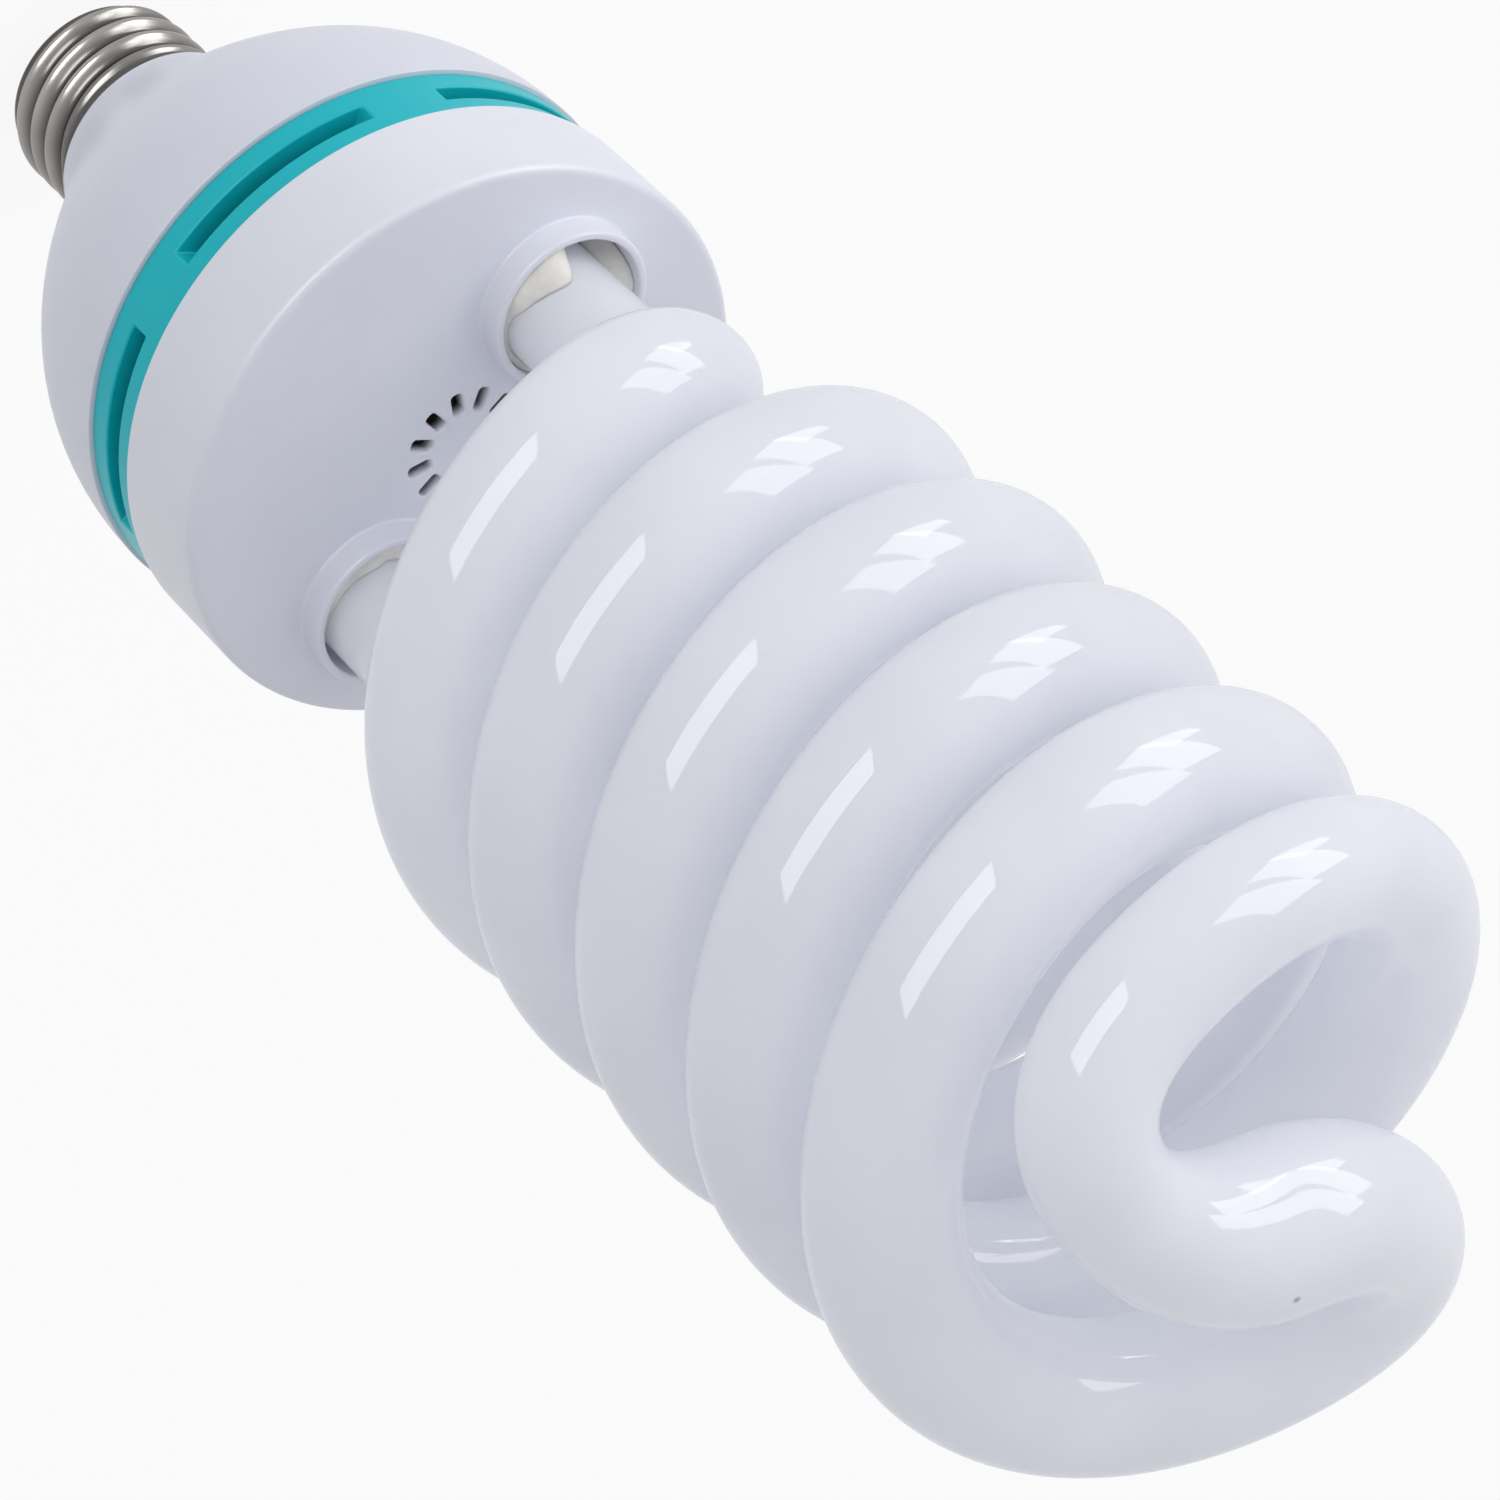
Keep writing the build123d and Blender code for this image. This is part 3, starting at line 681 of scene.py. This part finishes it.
class BULB_OT_vent_ring(bpy.types.Operator):
    """Make the teal ring with its long air slots"""

    bl_idname = "bulb.vent_ring"
    bl_label = "Vent ring"

    def execute(self, context):
        sizes = context.scene.bulb_body
        slot_steps, bridge_steps, lip = 44, 12, 0.0007
        pitch = tau / sizes.slots
        outer, inner = RING_HIGH.x, RING_HIGH.x - sizes.ring_wall
        deep = inner - sizes.slot_rim
        middle = (RING_LOW.z + RING_HIGH.z) / 2
        low, high = RING_LOW.z + sizes.joint, RING_HIGH.z
        slot_low, slot_high = middle - sizes.slot_height / 2, middle + sizes.slot_height / 2
        rim_low, rim_high = slot_low - lip, slot_high + lip
        section = [
            (outer, low), (outer, slot_low), (outer, slot_high), (outer, high),
            (inner, high), (inner, rim_high),
            (deep, rim_high), (deep, slot_high), (deep, slot_low), (deep, rim_low),
            (inner, rim_low), (inner, low),
        ]
        # The slot's lower and upper edges in that section, outside and inside
        outside, inside_edge = (1, 2), (8, 7)

        def angles(shrink):
            turns = []
            for slot in range(sizes.slots):
                start = slot * pitch - sizes.slot_arc / 2 + shrink
                arc = sizes.slot_arc - 2 * shrink
                turns += [start + arc * index / slot_steps for index in range(slot_steps)]
                turns += [start + arc + (pitch - arc) * index / bridge_steps for index in range(bridge_steps)]
            return turns

        open_steps = ([True] * slot_steps + [False] * bridge_steps) * sizes.slots

        def build(grown):
            rows = []
            for index, (radius, level) in enumerate(section):
                turns = angles(sizes.slot_ramp if index in inside_edge else 0.0)
                rows.append(loop(grown, [(radius * cos(turn), radius * sin(turn), level) for turn in turns]))

            def strip(lower, upper, wanted, smooth):
                for index, is_open in enumerate(open_steps):
                    if is_open in wanted:
                        after = (index + 1) % len(open_steps)
                        face = grown.faces.new((lower[index], lower[after], upper[after], upper[index]))
                        face.smooth = smooth

            for row, lower in enumerate(rows):
                wanted = (False,) if row in (outside[0], inside_edge[1]) else (False, True)
                strip(lower, rows[(row + 1) % len(rows)], wanted, True)
            for edge, back in zip(outside, inside_edge):
                strip(rows[edge], rows[back], (True,), False)
            for index, is_open in enumerate(open_steps):
                if is_open != open_steps[index - 1]:
                    grown.faces.new([rows[row][index] for row in (*outside, *reversed(inside_edge))])

        mesh = mesh_from("slotted_ring", build)
        base = context.scene.bulb_finishes.teal
        teal = moulded("moulded_teal", base, roughness=0.36, grain=0.000015, gloss=0.25)
        ring = piece("slotted_ring", mesh, teal, ["vent_ring"])
        soften = ring.modifiers.new("edges", "BEVEL")
        soften.width = sizes.edge
        soften.segments = 2
        soften.limit_method = "ANGLE"
        soften.angle_limit = radians(50.0)
        soften.harden_normals = True
        return {"FINISHED"}


def slot_outline(sizes, grow, turned):
    """A rounded centre vent that lies along a radius, counter-clockwise."""
    corner_steps, corner_share = 4, 0.7
    radius = sizes.vent_width / 2 * corner_share + grow
    half_length = sizes.vent_length / 2 + grow - radius
    half_width = sizes.vent_width / 2 + grow - radius
    corners = (
        (half_length, half_width, 0.0),
        (-half_length, half_width, 0.25),
        (-half_length, -half_width, 0.5),
        (half_length, -half_width, 0.75),
    )
    spin = Matrix.Rotation(turned, 2)
    points = []
    for x, y, start in corners:
        for index in range(corner_steps + 1):
            swing = tau * (start + 0.25 * index / corner_steps)
            corner = Vector((sizes.vent_circle + x + radius * cos(swing), y + radius * sin(swing)))
            points.append(spin @ corner)
    return points


def pierced_sheet(grown, outer, holes, level):
    """A flat sheet between an outer ring of points and rings of holes. Returns the rings of vertices."""
    weld = 1e-9
    outlines = [outer] + holes
    flat = [Vector((point[0], point[1])) for ring in outlines for point in ring]
    edges, base = [], 0
    for ring in outlines:
        edges += [(base + index, base + (index + 1) % len(ring)) for index in range(len(ring))]
        base += len(ring)
    verts, _, faces, sources, _, _ = delaunay_2d_cdt(flat, edges, [], 0, weld, True)
    made = {index: new for new, old in enumerate(sources) for index in old}
    spread = [grown.verts.new((vert.x, vert.y, level)) for vert in verts]
    for face in faces:
        centre = sum((verts[index] for index in face), Vector((0.0, 0.0))) / len(face)
        if inside(centre, outer) and not any(inside(centre, hole) for hole in holes):
            grown.faces.new([spread[index] for index in face])
    rings, base = [], 0
    for ring in outlines:
        rings.append([spread[made[base + index]] for index in range(len(ring))])
        base += len(ring)
    return rings


def inside(point, ring):
    """Whether a point lies within a ring of points."""
    crossings = False
    for first, second in zip(ring, ring[1:] + ring[:1]):
        if (first[1] > point[1]) != (second[1] > point[1]):
            across = first[0] + (point[1] - first[1]) * (second[0] - first[0]) / (second[1] - first[1])
            crossings ^= point[0] < across
    return crossings


def lower_to(grown, ring, rings):
    """Carries a ring of vertices on through further rings of points. Returns the last ring."""
    for points in rings:
        following = loop(grown, points)
        bridge(grown, ring, following)
        ring = following
    return ring


class BULB_OT_upper_cover(bpy.types.Operator):
    """Make the white cover with its pierced face and the two collars"""

    bl_idname = "bulb.upper_cover"
    bl_label = "Upper cover"

    def execute(self, context):
        sizes = context.scene.bulb_body
        segments, collar_segments, wall_steps, collar_steps = 192, 72, 10, 6
        collar_depth, chamfer, lip_share = 0.009, 0.00025, 0.42
        radius = COVER_HIGH.x
        bore = TUBE_RADIUS + sizes.collar_gap
        collar = bore + sizes.collar_wall
        back = FACE_LEVEL - sizes.face_wall
        collar_low = FACE_LEVEL - collar_depth
        lip = sizes.collar_wall * lip_share
        tongue_radius, tongue_bore = tongue_walls(sizes)
        turns = [tau * (index + 0.5) / sizes.vents for index in range(sizes.vents)]
        outer_wall = rounded(
            [
                (radius - sizes.face_edge, FACE_LEVEL), (radius, FACE_LEVEL), (radius, RING_HIGH.z),
                (tongue_radius, RING_HIGH.z), (tongue_radius, COVER_LOW.z),
                (tongue_bore, COVER_LOW.z), (tongue_bore, RING_HIGH.z + sizes.wall),
                (radius - sizes.wall, RING_HIGH.z + 2 * sizes.wall), (radius - sizes.wall, back),
            ],
            [sizes.face_edge] + [sizes.edge] * 6,
            wall_steps,
        )
        collar_wall = rounded(
            [
                (collar + sizes.collar_root, FACE_LEVEL), (collar, FACE_LEVEL), (collar, COVER_HIGH.z),
                (bore, COVER_HIGH.z), (bore, collar_low), (collar, collar_low), (collar, back),
            ],
            [sizes.collar_root, lip, lip, sizes.edge, sizes.edge],
            collar_steps,
        )

        def vents(grow):
            return [slot_outline(sizes, grow, turn) for turn in turns]

        def build(grown):
            sides = [(-COLLAR_SPREAD, 0.0), (COLLAR_SPREAD, 0.0)]
            top_holes = [circle(collar_wall[0].x, FACE_LEVEL, collar_segments, side) for side in sides]
            top_rim = circle(outer_wall[0].x, FACE_LEVEL, segments)
            top = pierced_sheet(grown, top_rim, top_holes + vents(chamfer), FACE_LEVEL)
            low_holes = [circle(collar_wall[-1].x, back, collar_segments, side) for side in sides]
            low_rim = circle(outer_wall[-1].x, back, segments)
            low = pierced_sheet(grown, low_rim, low_holes + vents(0.0), back)
            rest = [circle(point.x, point.y, segments) for point in outer_wall[1:-1]]
            bridge(grown, lower_to(grown, top[0], rest), low[0])
            for index, side in enumerate(sides, 1):
                rest = [circle(point.x, point.y, collar_segments, side) for point in collar_wall[1:-1]]
                bridge(grown, lower_to(grown, top[index], rest), low[index])
            for index, vent in enumerate(vents(0.0), 1 + len(sides)):
                rest = [[(point.x, point.y, FACE_LEVEL - chamfer) for point in vent]]
                bridge(grown, lower_to(grown, top[index], rest), low[index])

        mesh = mesh_from("face_cover", build)
        white = moulded("cover_white", context.scene.bulb_finishes.cover, roughness=0.40, grain=0.00002)
        piece("face_cover", mesh, white, ["upper_cover"])
        return {"FINISHED"}


class BULB_OT_screw_cap(bpy.types.Operator):
    """Roll the threaded shell, and finish the insulator and the contact below it"""

    bl_idname = "bulb.screw_cap"
    bl_label = "Screw cap"

    def execute(self, context):
        sizes = context.scene.bulb_cap
        segments, rows_in_turn, corner_steps, run_out = 144, 18, 5, 0.75
        lip_height, lip_round, skirt_round = 0.001, 0.0007, 0.0005
        lip_level, neck_level = SHELL_LOW.z, SHELL_HIGH.z
        web_level = neck_level - sizes.skirt_height
        root = sizes.crest_radius - sizes.thread_depth
        rows = round((web_level - lip_level) / sizes.pitch * rows_in_turn)
        run = run_out * sizes.pitch

        def thread_ring(level):
            swell = ease(min((level - lip_level) / run, (web_level - level) / run))
            points = []
            for index in range(segments):
                turn = tau * index / segments
                wave = cos(turn - tau * (level - lip_level) / sizes.pitch)
                radius = root + sizes.thread_depth / 2 * (1.0 + wave) * swell
                points.append((radius * cos(turn), radius * sin(turn), level))
            return points

        def build(grown):
            lip = [(root - sizes.lip_width, lip_level), (root, lip_level), (root, lip_level + lip_height)]
            lip = rounded(lip, [lip_round], corner_steps)
            skirt = [(root, web_level), (SHELL_HIGH.x, web_level), (SHELL_HIGH.x, neck_level)]
            skirt = rounded(skirt, [skirt_round], corner_steps)
            rings = [circle(point.x, point.y, segments) for point in lip[:-1]]
            start = lip[-2].y
            for index in range(1, rows + 1):
                rings.append(thread_ring(start + (web_level - start) * index / rows))
            rings += [circle(point.x, point.y, segments) for point in skirt[1:]]
            lower_to(grown, loop(grown, rings[0]), rings[1:])

        mesh = mesh_from("threaded_shell", build)
        nickel = rolled_nickel(context.scene.bulb_finishes.nickel, root, sizes.crest_radius, web_level)
        shell = piece("threaded_shell", mesh, nickel, ["screw_shell"])
        thicken = shell.modifiers.new("sheet", "SOLIDIFY")
        thicken.thickness = sizes.sheet
        thicken.offset = -1.0
        dress(plain_part("black_cap_glass", (0.012, 0.012, 0.014), 0.18), "cap_insulator")
        dress(plated("pressed_brass", (0.72, 0.56, 0.30), low=0.25, high=0.4), "centre_contact")
        return {"FINISHED"}


# Where the cement is heaped up against the legs, and how fast that heap falls off round them
CEMENT_MOUND, MOUND_FALL = radians(-118.0), 1.15
# How far it lies below the CAD's top, its play in a collar, and how fast it rises at its two ends
CEMENT_SINK, CEMENT_PLAY, END_RISE, END_POWER = 0.0002, 0.0001, 8.0, 0.6
# Its lumps
LUMP_HEIGHT, LUMP_SCALE, LUMP_SHIFT = 0.0005, 420.0, Vector((9.0, 0.0, 0.0))
# The collars: piece, node, side, open direction, width of the opening, and height of the heap
COLLARS = (
    ("cement_a", "tube_cement_a", -1.0, radians(-180.0), radians(32.0), 0.0044),
    ("cement_b", "tube_cement_b", 1.0, radians(-360.0), radians(40.0), 0.0006),
)


def cement_section(turn, ends, leg, bore, mound):
    """Outline across the cement at an angle round a collar: up the bore, over the heap and down the leg."""
    top_steps, bore_share = 9, 0.3
    way = Vector((cos(turn), sin(turn), 0.0))
    off = LEG_LEAN.dot(way)
    near = off + (off * off - LEG_LEAN.length_squared + leg * leg) ** 0.5
    heap = mound * max(0.0, cos((turn - CEMENT_MOUND) * MOUND_FALL)) ** 2
    height = CEMENT_HIGH.z - CEMENT_LOW.z - CEMENT_SINK
    base = Vector((0.0, 0.0, CEMENT_LOW.z))
    points = [way * bore + base]
    for index in range(top_steps):
        share = index / (top_steps - 1)
        spot = way * (bore + (near - bore) * share)
        lump = LUMP_HEIGHT * noise.noise(spot * LUMP_SCALE + LUMP_SHIFT)
        rise = height + lump + heap * (bore_share + (1.0 - bore_share) * share)
        points.append(spot + base + Vector((0.0, 0.0, rise * ends)))
    return points + [way * near + base]


class BULB_OT_leg_cement(bpy.types.Operator):
    """Heap uneven cement round each leg, open towards the outside"""

    bl_idname = "bulb.leg_cement"
    bl_label = "Leg cement"

    def execute(self, context):
        leg = context.scene.bulb_tube.radius + CEMENT_PLAY
        bore = TUBE_RADIUS + context.scene.bulb_body.collar_gap - CEMENT_PLAY
        steps = 96
        material = crumbled("dry_cement", context.scene.bulb_finishes.cement)
        for name, node, side, facing, opening, mound in COLLARS:
            centre = Vector((side * COLLAR_SPREAD, 0.0, 0.0))

            def build(grown):
                rings = []
                for index in range(steps + 1):
                    share = index / steps
                    turn = facing + opening / 2 + (tau - opening) * share
                    ends = ease(END_RISE * min(share, 1.0 - share)) ** END_POWER
                    section = cement_section(turn, ends, leg, bore, mound)
                    rings.append(loop(grown, [centre + point for point in section]))
                for first, second in zip(rings, rings[1:]):
                    bridge(grown, first, second)
                grown.faces.new(rings[0])
                grown.faces.new(reversed(rings[-1]))

            piece(name, mesh_from(name, build), material, [node])
        return {"FINISHED"}


class BULB_OT_ballast(bpy.types.Operator):
    """Finish the ballast parts inside the housing"""

    bl_idname = "bulb.ballast"
    bl_label = "Ballast"

    def execute(self, context):
        can = plain_part("can_sleeve", (0.012, 0.014, 0.03), 0.3)
        case = plain_part("black_case", (0.014, 0.014, 0.015), 0.45)
        dipped = plain_part("dipped_coat", (0.22, 0.035, 0.015), 0.3)
        tinned = plated("tinned_wire", (0.62, 0.62, 0.62), low=0.25, high=0.45)
        aluminium = plated("plain_aluminium", (0.72, 0.73, 0.74), low=0.35, high=0.5, stretch=3.0)
        copper = wound("enamelled_copper", (0.42, 0.12, 0.04))
        dress(can, "smoothing_capacitor_a", "smoothing_capacitor_b")
        dress(case, "transistor_a", "transistor_b", "rectifier_diodes")
        dress(dipped, "resonant_capacitor", "blocking_capacitor")
        dress(tinned, "wrap_pins", "filament_leads")
        dress(aluminium, "heat_sink_a", "heat_sink_b")
        dress(copper, "choke_winding", "toroid_winding", "filter_inductor")
        dress(plain_part("phenolic_board", (0.16, 0.08, 0.025), 0.6), "circuit_board")
        dress(plain_part("white_sleeve", (0.6, 0.6, 0.57), 0.4), "contact_wire", "shell_wire")
        dress(plain_part("sintered_ferrite", (0.03, 0.03, 0.034), 0.6), "choke_core", "toroid_core")
        dress(plain_part("ivory_bobbin", (0.66, 0.58, 0.36), 0.5), "choke_bobbin")
        dress(plain_part("resistor_coat", (0.13, 0.24, 0.15), 0.5), "fuse_resistor")
        return {"FINISHED"}


class StageSizes(bpy.types.PropertyGroup):
    """Camera, floor and lights."""

    floor_radius: length("Floor radius", 6.0, "Radius of the round floor")
    floor: colour("Floor", (0.86, 0.865, 0.875), "Pale floor")
    floor_lift: portion("Floor lift", 0.9, "Share of plain white the eye sees in the floor")
    lens: FloatProperty(name="Lens", default=150.6, unit="CAMERA", description="For a sensor of 36 mm")
    fill: portion("Fill", 0.61, "Strength of the light from all round")
    slant: portion("Slant", 0.26, "How much fuller that light is on the windows' side")


# The camera's place and axes, from fitting the lamp's outlines in the photo
CAMERA_PLACE = Vector((-0.18465, -0.52859, 0.6081))
CAMERA_RIGHT = Vector((-0.50801, 0.65474, 0.55970))
CAMERA_UP = Vector((-0.82096, -0.17137, -0.54467))
CAMERA_BACK = Vector((-0.26070, -0.73618, 0.62456))
# The side that the windows are on
WINDOW_SIDE = Vector((-0.94, 0.35, 0.0))
# What the lamps face, how far off they and their shines stand, and watts a square metre at brightness one
LAMP_TARGET = Vector((-0.02, -0.02, 0.18))
LAMP_DISTANCE, SHINE_DISTANCE, LAMP_POWER = 1.2, 1.25, 4.0
# The lamps: name, azimuth, elevation, width, height and roll in degrees, brightness, and that of the shine
LAMPS = (
    ("left_box", -110.0, 6.0, 42.0, 30.0, 0.0, 0.2, 4.6),
    ("right_box_low", 166.0, -7.0, 22.0, 14.0, -45.0, 1.2, 2.5),
    ("right_box_middle", 163.0, 11.0, 42.0, 16.0, -38.0, 1.2, 2.5),
    ("right_box_high", 168.0, 29.0, 46.0, 14.0, -28.0, 1.2, 2.5),
    ("front", -125.0, 24.0, 60.0, 60.0, 0.0, 0.26, 0.0),
)


def make_camera(stage):
    """A still camera at the photo's viewing angle."""
    data = bpy.data.cameras.new("camera")
    data.sensor_width = 36.0
    data.lens = stage.lens
    data.clip_start, data.clip_end = 0.01, 100.0
    camera = new_object("camera", data)
    axes = Matrix((CAMERA_RIGHT, CAMERA_UP, CAMERA_BACK)).transposed().to_4x4()
    camera.matrix_world = Matrix.Translation(CAMERA_PLACE) @ axes
    bpy.context.scene.camera = camera


def soft_box(name, azimuth, elevation, width, height, tilt, brightness, shine):
    """A rectangular area lamp that faces the spiral from a direction, and its own shine if it has one."""
    turn, lift, roll = radians(azimuth), radians(elevation), radians(tilt)
    way = Vector((cos(lift) * cos(turn), cos(lift) * sin(turn), sin(lift)))
    east = Vector((-sin(turn), cos(turn), 0.0))
    along = east * cos(roll) + way.cross(east) * sin(roll)
    axes = Matrix((along, way.cross(along), way)).transposed().to_4x4()
    parts = [(name, brightness, LAMP_DISTANCE)]
    if shine:
        parts.append((name + "_shine", shine, SHINE_DISTANCE))
    for label, radiance, distance in parts:
        data = bpy.data.lights.new(label, "AREA")
        data.shape = "RECTANGLE"
        data.size = 2 * distance * tan(radians(width) / 2)
        data.size_y = 2 * distance * tan(radians(height) / 2)
        data.energy = LAMP_POWER * data.size * data.size_y * radiance
        lamp = new_object(label, data)
        lamp.matrix_world = Matrix.Translation(LAMP_TARGET + way * distance) @ axes
        lamp.visible_diffuse = label == name
        lamp.visible_glossy = shine > 0.0
        lamp.visible_camera = False


def seen_rays(tree):
    """One for the eye, and for what metal and glass show; nought for soft light."""
    path = add_node(tree, "ShaderNodeLightPath")
    total = path.outputs["Is Camera Ray"]
    for label in ("Is Glossy Ray", "Is Transmission Ray"):
        both = add_node(tree, "ShaderNodeMath", operation="ADD", use_clamp=True)
        wire(total, both.inputs[0])
        wire(path.outputs[label], both.inputs[1])
        total = both.outputs[0]
    return total


def make_floor(stage):
    """A round pale floor that the eye sees as nearly white."""

    def build(grown):
        bmesh.ops.create_circle(grown, cap_ends=True, segments=96, radius=stage.floor_radius)

    mesh = mesh_from("floor", build)
    floor = new_object("floor", mesh)
    material, tree, shader = new_material("pale_floor")
    shader.inputs["Roughness"].default_value = 0.9
    tone = ramp(spots(tree, scale=3.0), stage.floor, dark=1.0, light=1.01)
    wire(tone, shader.inputs["Base Color"])
    glow = add_node(tree, "ShaderNodeEmission")
    share = add_node(tree, "ShaderNodeMath", operation="MULTIPLY")
    share.inputs[1].default_value = stage.floor_lift
    wire(seen_rays(tree), share.inputs[0])
    lift = blend(tree, 0.0, shader.outputs["BSDF"], glow.outputs["Emission"])
    wire(share.outputs[0], lift)
    mesh.materials.append(material)


def make_world(stage):
    """Soft light from all round, fuller on the windows' side, and plain white to the eye and in a shine."""
    world = bpy.data.worlds.new("studio")
    world.use_nodes = True
    tree = world.node_tree
    soft = tree.nodes["Background"]
    soft.inputs["Color"].default_value = (0.98, 0.99, 1.0, 1.0)
    skyward = add_node(tree, "ShaderNodeTexCoord")
    towards = add_node(tree, "ShaderNodeVectorMath", operation="DOT_PRODUCT")
    towards.inputs[1].default_value = WINDOW_SIDE
    wire(skyward.outputs["Generated"], towards.inputs[0])
    least, most = stage.fill * (1.0 - stage.slant), stage.fill * (1.0 + stage.slant)
    slanted = between(towards.outputs["Value"], -1.0, 1.0, least, most)
    white = add_node(tree, "ShaderNodeMapRange")
    white.inputs["To Max"].default_value = 1.0
    wire(seen_rays(tree), white.inputs["Value"])
    wire(slanted, white.inputs["To Min"])
    wire(white.outputs["Result"], soft.inputs["Strength"])
    bpy.context.scene.world = world


class BULB_OT_stage(bpy.types.Operator):
    """Set the camera, the pale floor and the soft lights"""

    bl_idname = "bulb.stage"
    bl_label = "Stage"

    def execute(self, context):
        stage = context.scene.bulb_stage
        make_camera(stage)
        make_floor(stage)
        make_world(stage)
        for lamp in LAMPS:
            soft_box(*lamp)
        context.scene.view_settings.view_transform = "Standard"
        return {"FINISHED"}


class BULB_PT_sidebar(bpy.types.Panel):
    """The bulb's pieces in the sidebar"""

    bl_idname = "BULB_PT_sidebar"
    bl_label = "Studio bulb"
    bl_space_type = "VIEW_3D"
    bl_region_type = "UI"
    bl_category = "Bulb"

    def draw(self, context):
        for maker in OPERATORS:
            self.layout.operator(maker.bl_idname)


GROUPS = {
    "bulb_tube": TubeSizes,
    "bulb_body": BodySizes,
    "bulb_cap": CapSizes,
    "bulb_finishes": Finishes,
    "bulb_stage": StageSizes,
}
OPERATORS = (
    BULB_OT_spiral_tube,
    BULB_OT_lower_housing,
    BULB_OT_vent_ring,
    BULB_OT_upper_cover,
    BULB_OT_screw_cap,
    BULB_OT_leg_cement,
    BULB_OT_ballast,
    BULB_OT_stage,
)
CLASSES = (*GROUPS.values(), *OPERATORS, BULB_PT_sidebar)


def register():
    for made in CLASSES:
        bpy.utils.register_class(made)
    for name, group in GROUPS.items():
        setattr(bpy.types.Scene, name, PointerProperty(type=group))


def unregister():
    for name in GROUPS:
        delattr(bpy.types.Scene, name)
    for made in reversed(CLASSES):
        bpy.utils.unregister_class(made)


def main():
    register()
    bpy.ops.bulb.spiral_tube()
    bpy.ops.bulb.lower_housing()
    bpy.ops.bulb.vent_ring()
    bpy.ops.bulb.upper_cover()
    bpy.ops.bulb.screw_cap()
    bpy.ops.bulb.leg_cement()
    bpy.ops.bulb.ballast()
    bpy.ops.bulb.stage()


if __name__ == "__main__":
    main()
